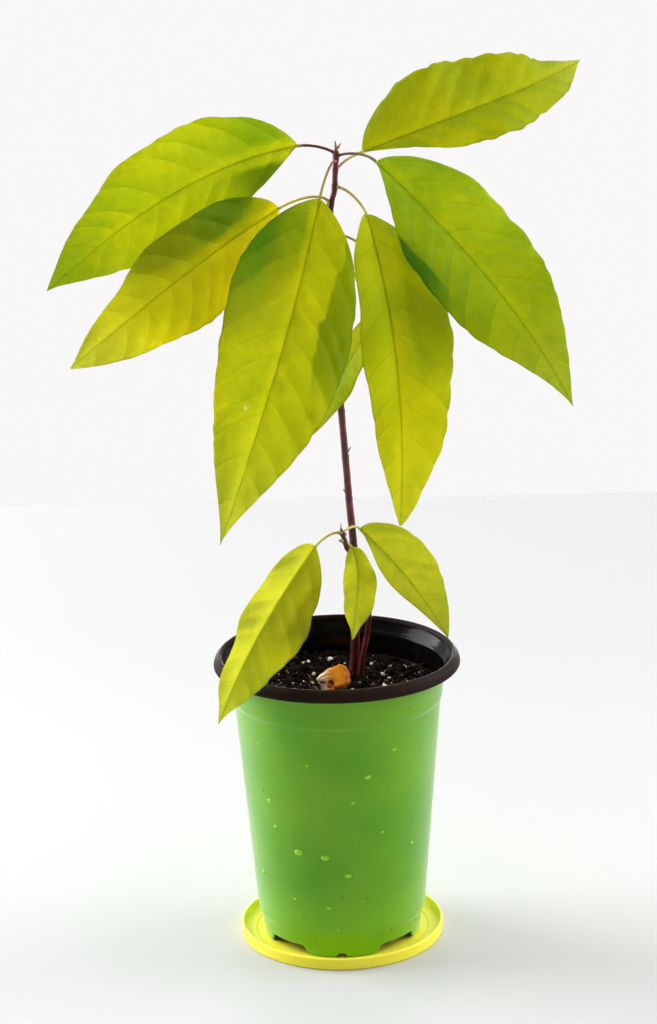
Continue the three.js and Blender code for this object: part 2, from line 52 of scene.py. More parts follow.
POT_LEVEL = 1.8
PLANT_LEVEL = 140.0
FULL_TURN = 2 * math.pi
MOST_ROUNDED = 0.45
Array = np.ndarray
Pair = tuple[float, float]
Triple = tuple[float, float, float]
Colour = Point = Triple
Faces = list[list[int]]
Material = bpy.types.Material
Socket = bpy.types.NodeSocket


# ---- numbers and noise


def smooth(low: float, high: float, x: Array) -> Array:
    """A smooth step from 0 at low to 1 at high."""
    part = np.clip((x - low) / (high - low), 0.0, 1.0)
    return part * part * (3 - 2 * part)


def direction(swing: float, lift: float) -> Array:
    """The unit vector that points a certain way.

    Args:
        swing: Its way round in degrees, from east by north.
        lift: How far it points up, in degrees.

    Returns:
        The vector.
    """
    turn, up = math.radians(swing), math.radians(lift)
    level = math.cos(up)
    return np.array([level * math.cos(turn), level * math.sin(turn), math.sin(up)])


def unit(vectors: Array) -> Array:
    """The same vectors at length one."""
    return vectors / np.maximum(np.linalg.norm(vectors, axis=-1, keepdims=True), 1e-9)


def scatter(cells: Array, seed: int) -> Array:
    """A steady value from -1 to 1 for each whole-number cell.

    Args:
        cells: Whole numbers, three to a row.
        seed: Picks one pattern out of many.

    Returns:
        One value for each row.
    """
    mixed = cells.astype(np.int64) @ np.array([73856093, 19349663, 83492791])
    mixed = (mixed ^ (seed * 2654435761)) & 0xFFFFFFFF
    mixed = ((mixed ^ (mixed >> 15)) * 2246822519) & 0xFFFFFFFF
    mixed = ((mixed ^ (mixed >> 13)) * 3266489917) & 0xFFFFFFFF
    return (mixed ^ (mixed >> 16)) / 0x7FFFFFFF - 1.0


def ripple(points: Array, size: float, seed: int) -> Array:
    """Smooth noise in space.

    Args:
        points: Places, three to a row.
        size: The distance over which the noise changes, in the points' unit.
        seed: Picks one pattern out of many.

    Returns:
        One value from -1 to 1 for each point.
    """
    cell = points.reshape(-1, 3) / size
    low = np.floor(cell)
    part = cell - low
    part = part * part * (3 - 2 * part)
    total = np.zeros(len(cell))
    for corner in range(8):
        step = np.array([corner & 1, corner >> 1 & 1, corner >> 2 & 1])
        share = np.where(step > 0, part, 1 - part).prod(axis=1)
        total += share * scatter(low + step, seed)
    return total.reshape(points.shape[:-1])


# ---- meshes


def strip_faces(rows: int, columns: int, closed: bool) -> Array:
    """The four-sided faces of a grid of points.

    Args:
        rows: How many rows of points.
        columns: How many points in a row.
        closed: Whether the last point of a row joins the first.

    Returns:
        Four point numbers for each face, row after row.
    """
    across = columns if closed else columns - 1
    row, column = np.meshgrid(np.arange(rows - 1), np.arange(across), indexing="ij")
    near = row * columns + column
    far = row * columns + (column + 1) % columns
    return np.stack([near, far, far + columns, near + columns], axis=-1).reshape(-1, 4)


def capped_faces(rows: int, around: int) -> Faces:
    """The faces of a stack of rings, closed by a fan at each end.

    Two points follow the rings: the middle of the first ring's fan, then that of the last ring's.

    Args:
        rows: How many rings.
        around: How many points in a ring.

    Returns:
        The faces as lists of point numbers.
    """
    faces = [list(face) for face in strip_faces(rows, around, True)]
    first, last, top = rows * around, rows * around + 1, (rows - 1) * around
    faces += [[first, (i + 1) % around, i] for i in range(around)]
    faces += [[last, top + i, top + (i + 1) % around] for i in range(around)]
    return faces


def tube_sides(along: Array, faces_up: Array | None) -> tuple[Array, Array]:
    """The directions that a tube's rings are drawn in.

    Args:
        along: The way along the tube at each ring.
        faces_up: Where the top of each ring faces, or None for rings that don't twist.

    Returns:
        The sideways and the upward direction at each ring.
    """
    if faces_up is not None:
        ups = unit(faces_up - along * (faces_up * along).sum(axis=1, keepdims=True))
        return np.cross(ups, along), ups
    side = np.cross(along[0], [0.0, 0.0, 1.0])
    if np.linalg.norm(side) < 0.1:
        side = np.array([1.0, 0.0, 0.0])
    sides = []
    for step in along:
        side = unit(side - step * np.dot(side, step))
        sides.append(side)
    return np.array(sides), np.cross(along, np.array(sides))


@dataclass
class Draft:
    """A mesh in the making, in millimetres, from several parts."""

    points: list[Array] = field(default_factory=list)
    faces: Faces = field(default_factory=list)
    finishes: list[int] = field(default_factory=list)
    values: dict[str, list[Array]] = field(default_factory=dict)
    count: int = 0

    def add(self, points: Array, faces: Faces, finish: int = 0,
            values: dict[str, Array] | None = None) -> None:
        """Adds one part.

        Args:
            points: Its points.
            faces: Its faces, as point numbers counted from the part's own first point.
            finish: Which of the piece's finishes it takes.
            values: Named values, one row for each point.
        """
        flat = np.asarray(points, float).reshape(-1, 3)
        for name, rows in (values or {}).items():
            self.values.setdefault(name, []).append(np.asarray(rows, float).reshape(len(flat), -1))
        self.faces.extend([[int(i) + self.count for i in face] for face in faces])
        self.finishes.extend([finish] * len(faces))
        self.points.append(flat)
        self.count += len(flat)

    def add_tube(self, centres: Array, radii: Array, around: int, finish: int = 0,
                 relief: Array | None = None, values: dict[str, Array] | None = None,
                 faces_up: Array | None = None) -> None:
        """Adds a closed round tube along a line.

        Args:
            centres: The line's points.
            radii: The radius at each point.
            around: How many sides.
            finish: Which of the piece's finishes it takes.
            relief: Extra radius, one row of `around` values for each point of the line.
            values: Named values, one row for each point of the line.
            faces_up: Where the top of the section faces at each point.
        """
        sides, ups = tube_sides(unit(np.gradient(centres, axis=0)), faces_up)
        turn = np.arange(around) * FULL_TURN / around
        reach = radii[:, None] + (0 if relief is None else relief)
        rings = (centres[:, None, :]
                 + sides[:, None, :] * (reach * np.cos(turn))[..., None]
                 + ups[:, None, :] * (reach * np.sin(turn))[..., None])
        rows = len(centres)
        spread = {}
        for name, along in (values or {}).items():
            table = np.asarray(along, float).reshape(rows, -1)
            spread[name] = np.vstack([np.repeat(table, around, axis=0), table[[0, -1]]])
        points = np.vstack([rings.reshape(-1, 3), centres[0], centres[-1]])
        self.add(points, capped_faces(rows, around), finish, spread)

    def make(self, name: str, finishes: list[Material], level: float = 0.0,
             sharp: float | None = None) -> bpy.types.Object:
        """Makes the piece in the scene.

        Args:
            name: The piece's name.
            finishes: Its materials, in the order that the parts' numbers mean.
            level: Height to raise it by, in millimetres.
            sharp: Edges that bend by more than this many degrees stay crisp; all are soft if None.

        Returns:
            The new object, in metres.
        """
        points = np.vstack(self.points)
        points[:, 2] += level
        mesh = bpy.data.meshes.new(name)
        mesh.from_pydata((points * MM).tolist(), [], self.faces)
        for finish in finishes:
            mesh.materials.append(finish)
        mesh.polygons.foreach_set("material_index", self.finishes)
        mesh.polygons.foreach_set("use_smooth", [True] * len(mesh.polygons))
        for key, rows in self.values.items():
            table = np.vstack(rows)
            kind = "FLOAT" if table.shape[1] == 1 else "FLOAT_VECTOR"
            layer = mesh.attributes.new(key, kind, "POINT")
            layer.data.foreach_set("value" if kind == "FLOAT" else "vector",
                                   table.astype(np.float32).ravel())
        tidy = bmesh.new()
        tidy.from_mesh(mesh)
        bmesh.ops.recalc_face_normals(tidy, faces=tidy.faces)
        if sharp is not None:
            for edge in tidy.edges:
                edge.smooth = edge.calc_face_angle(0.0) < math.radians(sharp)
        tidy.to_mesh(mesh)
        tidy.free()
        mesh.update()
        piece = bpy.data.objects.new(name, mesh)
        bpy.context.scene.collection.objects.link(piece)
        return piece


def rounded(outline: list[Pair], radius: float | list[float], steps: int) -> Array:
    """A closed outline with its corners rounded.

    Args:
        outline: The corners as pairs of numbers.
        radius: How far from a corner the rounding begins, at most, for all or for each.
        steps: How many points each corner gets, less one.

    Returns:
        The points of the rounded outline.
    """
    corners = np.array(outline, float)
    limits = radius if isinstance(radius, list) else [radius] * len(corners)
    made = []
    for i, corner in enumerate(corners):
        before = corners[i - 1] - corner
        after = corners[(i + 1) % len(corners)] - corner
        reach = [min(limits[i], MOST_ROUNDED * np.linalg.norm(v)) for v in (before, after)]
        start = corner + unit(before) * reach[0]
        end = corner + unit(after) * reach[1]
        for share in np.linspace(0, 1, steps + 1):
            made.append((1 - share) ** 2 * start + 2 * share * (1 - share) * corner
                        + share ** 2 * end)
    return np.array(made)


def place(piece: bpy.types.Object, slot: str, *nodes: str) -> None:
    """Fastens a piece to the body and reports it.

    Args:
        piece: The piece.
        slot: The name of a material slot; not used.
        nodes: The nodes that it stands for; none if it is a detail.
    """
    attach(piece, "root")
    if nodes:
        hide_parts(*nodes)
    LOG.info("%s: %d faces for %s", piece.name, len(piece.data.polygons), ", ".join(nodes) or "detail")


# ---- finishes


class NodeWriter:
    """Short calls for the nodes that finishes and the room's light share."""

    def __init__(self, tree: bpy.types.NodeTree) -> None:
        """Writes into that tree."""
        self.tree = tree

    def node(self, kind: str, *inputs: object, **settings: object) -> bpy.types.Node:
        """Adds a node.

        Args:
            kind: Its type, less the word ShaderNode.
            inputs: What goes into its sockets, in order.
            settings: Its other sockets by name, with _ for a space, and its properties in small letters.

        Returns:
            The node.
        """
        made = self.tree.nodes.new("ShaderNode" + kind)
        for key, value in settings.items():
            if key.islower():
                setattr(made, key, value)
            else:
                self.feed(made.inputs[key.replace("_", " ")], value)
        for socket, value in zip(made.inputs, inputs):
            self.feed(socket, value)
        return made

    def feed(self, socket: Socket, value: object) -> None:
        """Fills a socket.

        Args:
            socket: The socket.
            value: A node's output to link, or a plain number, colour or vector.
        """
        if isinstance(value, Socket):
            self.tree.links.new(value, socket)
        elif isinstance(value, tuple) and len(value) == 3 and socket.type == "RGBA":
            socket.default_value = (*value, 1.0)
        else:
            socket.default_value = value

    def math(self, operation: str, *inputs: object) -> Socket:
        """Works out one sum of that kind from numbers or sockets."""
        return self.node("Math", *inputs, operation=operation).outputs[0]

    def times(self, first: object, second: object) -> Socket:
        """One value times another."""
        return self.math("MULTIPLY", first, second)

    def plus(self, first: object, second: object) -> Socket:
        """One value plus another."""
        return self.math("ADD", first, second)

    def minus(self, first: object, second: object) -> Socket:
        """One value less another."""
        return self.math("SUBTRACT", first, second)

    def most(self, first: object, second: object) -> Socket:
        """The larger of two values."""
        return self.math("MAXIMUM", first, second)

    def mix(self, share: object, first: object, second: object) -> Socket:
        """Mixes two colours.

        Args:
            share: How much of the second.
            first: The first colour.
            second: The second colour.

        Returns:
            The mixed colour.
        """
        made = self.node("Mix", share, data_type="RGBA")
        self.feed(made.inputs[6], first)
        self.feed(made.inputs[7], second)
        return made.outputs[2]

    def ranged(self, value: object, low: float, high: float, start: float = 0.0,
               end: float = 1.0) -> Socket:
        """Eases from a start to an end as a value grows from low to high."""
        kind = "SMOOTHSTEP"
        return self.node("MapRange", value, low, high, start, end, interpolation_type=kind).outputs[0]

    def parts(self, vector: object) -> tuple[Socket, ...]:
        """Takes a vector apart into its three numbers."""
        return tuple(self.node("SeparateXYZ", vector).outputs)


class Recipe(NodeWriter):
    """A node material being written. A pattern's scale is how many of its patches a metre holds."""

    def __init__(self, name: str) -> None:
        """Starts an empty material.

        Args:
            name: Its name.
        """
        self.material = bpy.data.materials.new(name)
        self.material.use_nodes = True
        super().__init__(self.material.node_tree)
        self.tree.nodes.clear()
        self.output = self.node("OutputMaterial")

    def place(self) -> Socket:
        """The place on the object, in metres."""
        return self.node("TexCoord").outputs["Object"]

    def stretched(self, upright: float) -> Socket:
        """The place with its height shrunk to a share, so that patterns run upright."""
        return self.node("Mapping", Vector=self.place(), Scale=(1.0, 1.0, upright)).outputs[0]

    def value(self, name: str, vector: bool = False) -> Socket:
        """A value that the mesh carries under that name."""
        made = self.node("Attribute", attribute_name=name)
        return made.outputs["Vector" if vector else "Fac"]

    def noise(self, scale: float, detail: float = 2.0, rough: float = 0.5,
              where: Socket | None = None) -> Socket:
        """Soft noise from 0 to 1, with so many finer layers of some strength."""
        where = self.place() if where is None else where
        return self.node("TexNoise", Vector=where, Scale=scale, Detail=detail, Roughness=rough).outputs[0]

    def sway(self, noise: Socket, size: float) -> Socket:
        """Noise spread evenly about zero and over a size."""
        return self.times(self.minus(noise, 0.5), size)

    def cells(self, scale: float, feature: str = "DISTANCE_TO_EDGE",
              where: Socket | None = None) -> Socket:
        """The distance to the edge of a pattern's cells or, with F1, to their middle, in cells."""
        where = self.place() if where is None else where
        return self.node("TexVoronoi", feature=feature, Vector=where, Scale=scale).outputs[0]

    def bump(self, height: object, depth: float, strength: float = 1.0) -> Socket:
        """A normal roughened by a height, of which 1 means so many metres, at some strength."""
        return self.node("Bump", Strength=strength, Distance=depth, Height=height).outputs[0]

    def surface(self, **inputs: object) -> bpy.types.Node:
        """Adds the shader and links it to the output.

        Args:
            inputs: Its inputs by name, with _ for a space.

        Returns:
            The shader's node.
        """
        made = self.node("BsdfPrincipled", **inputs)
        self.feed(self.output.inputs["Surface"], made.outputs[0])
        return made

    def pass_light(self, skin: bpy.types.Node, glow: object, normal: object, share: float) -> None:
        """Mixes a skin with light from behind it and links both to the output.

        Args:
            skin: The skin's shader.
            glow: The colour of the light that comes through.
            normal: The bumped normal.
            share: How much of the surface lets light through.
        """
        through = self.node("BsdfTranslucent", Color=glow, Normal=normal)
        both = self.node("MixShader", share, skin.outputs[0], through.outputs[0])
        self.feed(self.output.inputs["Surface"], both.outputs[0])


class Skin:
    """A finish; each kind writes its own nodes."""

    def write(self, r: Recipe) -> None:
        """Writes the nodes into a new material."""
        raise NotImplementedError

    def make(self, name: str) -> Material:
        """Makes the material.

        Args:
            name: Its name.

        Returns:
            The finished material.
        """
        recipe = Recipe(name)
        self.write(recipe)
        return recipe.material


@dataclass(frozen=True)
class PaintedShadingBand:
    """A band of painted shading along one side of a leaf, with a skin and a glow of its own.

    Most bands are painted shade, mostly darker and greener, where another leaf or a fold shades the
    leaf; a few are painted light that brightens a shaded half. Its side is 1 to the left of the midrib
    and -1 to the right. It starts so many millimetres from the midrib, on a line that wanders by so
    many, and runs from one share of the length to another.
    """

    side: float
    start: float
    end: float
    strength: float = 1.0
    wander: float = 13.0
    soft: float = 1.6
    begin: float = 0.05
    glow: Colour = (0.46, 0.58, 0.03)
    skin: Colour = (0.04, 0.185, 0.006)

    def share(self, r: Recipe, aside: Socket, run: Socket) -> Socket:
        """Writes how much of the band shows at each place.

        Args:
            r: The leaf's material.
            aside: The signed distance from the midrib.
            run: The share of the leaf's length.

        Returns:
            The share, up to the band's strength.
        """
        beyond = r.plus(r.times(aside, self.side), r.sway(r.noise(52.0), self.wander))
        beyond = r.ranged(beyond, self.start, self.start + self.soft)
        beyond = r.times(beyond, r.ranged(run, self.end - 0.1, self.end + 0.08, 1.0, 0.0))
        return r.times(beyond, r.ranged(run, self.begin, self.begin + 0.09, 0.0, self.strength))


@dataclass(frozen=True)
class LeafFinish(Skin):
    """The thin, light-passing skin of a leaf, with its veins.

    Its mesh carries vein_map: the vein count along the midrib, the signed distance from the midrib
    in millimetres and the share of the length. Painted shade darkens each strip between side veins
    towards the tip, and bands along the sides paint more shade or light.
    """

    bright: Colour = (0.10, 0.29, 0.006)
    deep: Colour = (0.04, 0.185, 0.006)
    glow: Colour = (0.96, 0.84, 0.06)
    glow_deep: Colour = (0.74, 0.74, 0.04)
    tip: Colour = (0.92, 0.87, 0.28)
    # The glow's colour under the painted shade between side veins.
    shade: Colour = (0.52, 0.60, 0.03)
    vein: Colour = (0.12, 0.30, 0.01)
    scar: Colour = (0.80, 0.70, 0.42)
    patches: float = 26.0
    flecks: float = 210.0
    net_cells: float = 230.0
    fine_net_cells: float = 700.0
    vein_on_skin: float = 0.25
    vein_in_glow: float = 0.17
    mirror: float = 0.07
    relief_depth: float = 0.00022
    pass_share: float = 0.55
    # How strong the painted shade between side veins is, and the bands of painted shading.
    panel_shade_strength: float = 0.4
    painted_shading_bands: tuple[PaintedShadingBand, ...] = ()

    def veins(self, r: Recipe, shifted: Socket, out: Socket) -> Socket:
        """Writes the midrib, the side veins and the two nets of fine veins.

        Args:
            r: The material.
            shifted: The vein count, half a vein on to the left of the midrib.
            out: The distance from the midrib.

        Returns:
            How strong the vein is at each place.
        """
        near = r.math("ABSOLUTE", r.minus(r.math("FRACT", shifted), 0.5))
        lateral = r.times(r.ranged(near, 0.0, 0.045, 1.0, 0.0), r.ranged(out, 14.0, 32.0, 0.75, 0.2))
        midrib = r.ranged(out, 0.15, 0.95, 1.0, 0.0)
        net = r.ranged(r.cells(self.net_cells), 0.0, 0.09, 0.42, 0.0)
        fine_net = r.ranged(r.cells(self.fine_net_cells), 0.0, 0.14, 0.22, 0.0)
        return r.most(r.most(midrib, lateral), r.most(net, fine_net))

    def write(self, r: Recipe) -> None:
        """Writes the nodes.

        Args:
            r: The new material.
        """
        count, aside, run = r.parts(r.value("vein_map", vector=True))
        out = r.math("ABSOLUTE", aside)
        shifted = r.plus(count, r.times(r.math("GREATER_THAN", aside, 0.0), 0.5))
        veins = self.veins(r, shifted, out)
        # Painted shade: each strip between side veins darkens towards its next vein up the leaf, like
        # quilting lit from behind; it takes the skin towards deep and the glow towards the shade colour.
        painted_panel_shade = r.times(r.math("FRACT", r.plus(shifted, 0.5)), r.ranged(out, 1.0, 7.0))
        painted_panel_shade = r.times(painted_panel_shade, r.ranged(r.noise(34.0), 0.36, 0.62, 0.25, 1.0))
        painted_panel_shade = r.times(painted_panel_shade, self.panel_shade_strength)
        cloud = r.times(r.ranged(r.noise(self.patches, 3.0, 0.55), 0.32, 0.68), 0.62)
        flecks = r.times(r.ranged(r.noise(self.flecks, 4.0, 0.65), 0.32, 0.68), 0.38)
        cloud = r.plus(cloud, flecks)
        skin = r.mix(cloud, self.deep, self.bright)
        skin = r.mix(r.times(veins, self.vein_on_skin), skin, self.vein)
        skin = r.mix(painted_panel_shade, skin, self.deep)
        glow = r.mix(cloud, self.glow_deep, self.glow)
        glow = r.mix(r.ranged(run, 0.55, 1.0, 0.0, 0.7), glow, self.tip)
        glow = r.mix(painted_panel_shade, glow, self.shade)
        # Each band paints shade, or on a few leaves light, into the glow and the skin.
        for band in self.painted_shading_bands:
            share = band.share(r, aside, run)
            glow = r.mix(share, glow, band.glow)
            skin = r.mix(share, skin, band.skin)
        glow = r.mix(r.times(veins, self.vein_in_glow), glow, self.vein)
        few = r.ranged(r.noise(17.0, 1.0), 0.6, 0.62)
        scars = r.times(r.ranged(r.cells(44.0, "F1"), 0.03, 0.045, 1.0, 0.0), few)
        relief = r.minus(r.times(r.noise(900.0), 0.4), veins)
        normal = r.bump(relief, self.relief_depth)
        gloss = r.plus(r.times(r.noise(120.0), 0.16), 0.46)
        shader = r.surface(Base_Color=r.mix(scars, skin, self.scar), Roughness=gloss, Normal=normal,
                           Specular_IOR_Level=self.mirror)
        r.pass_light(shader, r.mix(scars, glow, self.scar), normal, self.pass_share)


@dataclass(frozen=True)
class StalkFinish(Skin):
    """A leaf's petiole: one colour at the stem, another at the blade, changing at a share of it."""

    near: Colour = (0.16, 0.03, 0.02)
    far: Colour = (0.34, 0.36, 0.07)
    turn: float = 0.55
    ease: float = 0.3

    def write(self, r: Recipe) -> None:
        """Writes the nodes.

        Args:
            r: The new material.
        """
        run = r.plus(r.value("stalk_run"), r.sway(r.noise(500.0, 3.0, 0.6), 0.3))
        colour = r.mix(r.ranged(run, self.turn - self.ease, self.turn + self.ease), self.near, self.far)
        colour = r.mix(r.times(r.noise(1500.0), 0.25), colour, self.near)
        r.surface(Base_Color=colour, Roughness=0.4, Normal=r.bump(r.noise(1800.0, 3.0), 0.00006, 0.6),
                  Specular_IOR_Level=0.5)


@dataclass(frozen=True)
class RibFinish(Skin):
    """The midrib below a blade: juicy green that lets some light through."""

    green: Colour = (0.28, 0.36, 0.04)
    dark: Colour = (0.2, 0.28, 0.03)
    glow: Colour = (0.95, 0.95, 0.42)

    def write(self, r: Recipe) -> None:
        """Writes the nodes.

        Args:
            r: The new material.
        """
        grain = r.noise(900.0, 3.0)
        normal = r.bump(grain, 0.00005, 0.6)
        colour = r.mix(r.times(grain, 0.4), self.green, self.dark)
        shader = r.surface(Base_Color=colour, Roughness=0.42, Normal=normal)
        r.pass_light(shader, self.glow, normal, 0.85)


@dataclass(frozen=True)
class BarkFinish(Skin):
    """Young bark: dark red to brown, with pale pores and fine lengthwise lines."""

    dark: Colour = (0.026, 0.003, 0.006)
    red: Colour = (0.16, 0.011, 0.018)
    line: Colour = (0.2, 0.035, 0.03)
    old: Colour = (0.07, 0.022, 0.02)
    young: Colour = (0.42, 0.21, 0.07)
    pore: Colour = (0.30, 0.13, 0.08)

    def write(self, r: Recipe) -> None:
        """Writes the nodes.

        Args:
            r: The new material.
        """
        upright = r.stretched(0.16)
        lines = r.noise(2600.0, 3.0, 0.6, where=upright)
        cloud = r.noise(130.0, 3.0, 0.6)
        pores = r.ranged(r.cells(520.0, "F1", where=upright), 0.10, 0.2, 1.0, 0.0)
        pores = r.times(pores, r.ranged(r.noise(260.0), 0.5, 0.62))
        colour = r.mix(r.ranged(cloud, 0.3, 0.72), self.dark, self.red)
        colour = r.mix(r.times(lines, 0.25), colour, self.line)
        colour = r.mix(r.times(r.value("woody"), 0.5), colour, self.old)
        colour = r.mix(r.times(r.value("stalk_run"), 0.85), colour, self.young)
        colour = r.mix(r.times(pores, 0.7), colour, self.pore)
        height = r.plus(lines, r.times(pores, 1.4))
        gloss = r.plus(r.times(cloud, 0.25), 0.3)
        r.surface(Base_Color=colour, Roughness=gloss, Normal=r.bump(height, 0.00011, 0.7),
                  Specular_IOR_Level=0.5)


@dataclass(frozen=True)
class BudFinish(Skin):
    """The scales of a bud, flecked, with another colour at the tip."""

    scale: Colour
    tip: Colour
    fleck: Colour = (0.5, 0.36, 0.12)

    def write(self, r: Recipe) -> None:
        """Writes the nodes.

        Args:
            r: The new material.
        """
        flecks = r.noise(1400.0, 3.0, 0.6)
        colour = r.mix(r.ranged(r.value("stalk_run"), 0.45, 1.0), self.scale, self.tip)
        colour = r.mix(r.times(flecks, 0.5), colour, self.fleck)
        r.surface(Base_Color=colour, Roughness=0.6, Normal=r.bump(flecks, 0.0001, 0.8))


@dataclass(frozen=True)
class PlasticFinish(Skin):
    """Moulded plastic: a body colour that drifts a little, dust, fine scratches and a soft gloss.

    Its colour may turn to another one below a height, it may have dark spots, and a film of damp.
    """

    body: Colour
    drift: Colour
    dust: Colour
    dusty: float = 0.2
    gloss: float = 0.3
    mirror: float = 0.3
    low: Colour | None = None
    low_top: float = 0.02
    film: float = 0.0
    spotted: float = 0.0
    spot: Colour = (0.035, 0.05, 0.008)

    def write(self, r: Recipe) -> None:
        """Writes the nodes.

        Args:
            r: The new material.
        """
        colour = r.mix(r.ranged(r.noise(22.0, 3.0, 0.55), 0.3, 0.7), self.body, self.drift)
        if self.low is not None:
            height = r.parts(r.place())[2]
            below = r.ranged(height, self.low_top, self.low_top + 0.03, 1.0, 0.0)
            colour = r.mix(below, colour, self.low)
        upright = r.stretched(0.12)
        runs = r.ranged(r.noise(160.0, 4.0, 0.6, where=upright), 0.55, 0.8)
        specks = r.ranged(r.cells(310.0, "F1"), 0.03, 0.09, 1.0, 0.0)
        specks = r.times(specks, r.ranged(r.noise(60.0), 0.52, 0.66))
        dirt = r.most(r.times(runs, self.dusty), r.times(specks, self.dusty * 5))
        colour = r.mix(dirt, colour, self.dust)
        spots = r.ranged(r.cells(130.0, "F1"), 0.07, 0.14, 1.0, 0.0)
        spots = r.times(spots, r.ranged(r.noise(38.0), 0.56, 0.62))
        colour = r.mix(r.times(spots, self.spotted), colour, self.spot)
        peel = r.noise(700.0, 3.0)
        scratch = r.ranged(r.noise(900.0, where=upright), 0.6, 0.75)
        rough = r.plus(r.times(runs, 0.12), r.times(peel, 0.08))
        rough = r.plus(rough, r.plus(r.times(scratch, 0.05), self.gloss))
        bumps = r.plus(peel, r.times(dirt, 0.6))
        r.surface(Base_Color=colour, Roughness=rough, Normal=r.bump(bumps, 0.00004, 0.5),
                  Specular_IOR_Level=self.mirror, Sheen_Weight=self.film, Sheen_Roughness=0.35)


@dataclass(frozen=True)
class SoilFinish(Skin):
    """Damp dark potting mix."""

    wet: Colour = (0.0015, 0.001, 0.0008)
    dry: Colour = (0.014, 0.008, 0.005)
    fleck: Colour = (0.12, 0.065, 0.035)

    def write(self, r: Recipe) -> None:
        """Writes the nodes.

        Args:
            r: The new material.
        """
        crumbs = r.noise(620.0, 5.0, 0.68)
        colour = r.mix(r.ranged(crumbs, 0.38, 0.75), self.wet, self.dry)
        colour = r.mix(r.ranged(r.noise(1500.0), 0.66, 0.74), colour, self.fleck)
        rough = r.minus(0.9, r.times(r.ranged(r.noise(70.0), 0.4, 0.7), 0.45))
        r.surface(Base_Color=colour, Roughness=rough, Normal=r.bump(crumbs, 0.0011),
                  Specular_IOR_Level=0.06)


@dataclass(frozen=True)
class GrainFinish(Skin):
    """Loose bits on the soil; each takes its tone from the value `tone`."""

    dark: Colour
    pale: Colour
    rough: float = 0.9
    mirror: float = 0.06

    def write(self, r: Recipe) -> None:
        """Writes the nodes.

        Args:
            r: The new material.
        """
        pits = r.noise(1600.0, 4.0, 0.65)
        colour = r.mix(r.value("tone"), self.dark, self.pale)
        colour = r.mix(r.ranged(pits, 0.58, 0.72, 0.0, 0.55), colour, self.dark)
        r.surface(Base_Color=colour, Roughness=self.rough, Normal=r.bump(pits, 0.0004, 0.9),
                  Specular_IOR_Level=self.mirror)


@dataclass(frozen=True)
class SeedFinish(Skin):
    """The broken seed: orange flesh to the right, pale dry skin with dark cracks to the left.

    The flesh begins along one line from east to west and is browned from another, and the foot is
    dirty up to a height, all in metres.
    """

    flesh: Colour = (1.0, 0.37, 0.006)
    bruise: Colour = (1.0, 0.56, 0.12)
    skin: Colour = (1.0, 0.80, 0.58)
    rind: Colour = (0.50, 0.10, 0.005)
    crack: Colour = (0.09, 0.010, 0.008)
    dirt: Colour = (0.07, 0.022, 0.006)
    flesh_line: Pair = (-0.0095, -0.002)
    rind_line: Pair = (0.0, 0.0062)
    dirt_line: Pair = (0.1385, 0.1436)
    wander: float = 0.006

    def write(self, r: Recipe) -> None:
        """Writes the nodes.

        Args:
            r: The new material.
        """
        east, _, height = r.parts(r.place())
        warp = r.sway(r.noise(160.0, 3.0), self.wander)
        place_east = r.plus(east, warp)
        side = r.ranged(place_east, *self.flesh_line)
        colour = r.mix(side, self.skin, self.flesh)
        colour = r.mix(r.ranged(r.noise(420.0, 4.0, 0.6), 0.45, 0.8, 0.0, 0.14), colour, self.bruise)
        colour = r.mix(r.ranged(place_east, *self.rind_line, 0.0, 0.72), colour, self.rind)
        lines = r.ranged(r.cells(260.0), 0.0, 0.05, 1.0, 0.0)
        breaks = r.times(lines, r.ranged(side, 0.0, 0.8, 0.5, 0.0))
        torn = r.most(breaks, r.ranged(r.value("tone"), 0.25, 0.6))
        colour = r.mix(r.times(torn, 0.92), colour, self.crack)
        colour = r.mix(r.ranged(r.plus(height, warp), *self.dirt_line, 0.9, 0.0), colour, self.dirt)
        relief = r.minus(r.noise(1200.0, 4.0, 0.6), r.times(breaks, 1.4))
        r.surface(Base_Color=colour, Roughness=0.55, Normal=r.bump(relief, 0.0003, 0.8),
                  Specular_IOR_Level=0.2, Subsurface_Weight=0.25, Subsurface_Scale=0.002)


@dataclass(frozen=True)
class DropFinish(Skin):
    """A drop of water that brightens the green wall like a lens: painted light, lit below, shaded above.
    """

    lit: Colour = (0.38, 0.74, 0.07)
    shaded: Colour = (0.24, 0.58, 0.03)

    def write(self, r: Recipe) -> None:
        """Writes the nodes."""
        colour = r.mix(r.ranged(r.value("tone"), 0.2, 0.9), self.shaded, self.lit)
        r.surface(Base_Color=colour, Roughness=0.2, Specular_IOR_Level=0.22)


@dataclass(frozen=True)
class FloorFinish(Skin):
    """A plain pale studio floor, with painted shade that darkens it towards the back."""

    pale: Colour = (0.51, 0.51, 0.51)
    cloud: Colour = (0.54, 0.54, 0.545)
    far: Colour = (0.43, 0.43, 0.43)

    def write(self, r: Recipe) -> None:
        """Writes the nodes.

        Args:
            r: The new material.
        """
        # Painted shade: the floor darkens from the front towards the back.
        far = r.ranged(r.parts(r.place())[1], -0.1, 0.6)
        colour = r.mix(r.times(r.noise(3.0), 0.25), self.pale, self.cloud)
        r.surface(Base_Color=r.mix(far, colour, self.far), Roughness=0.5, Specular_IOR_Level=0.25)


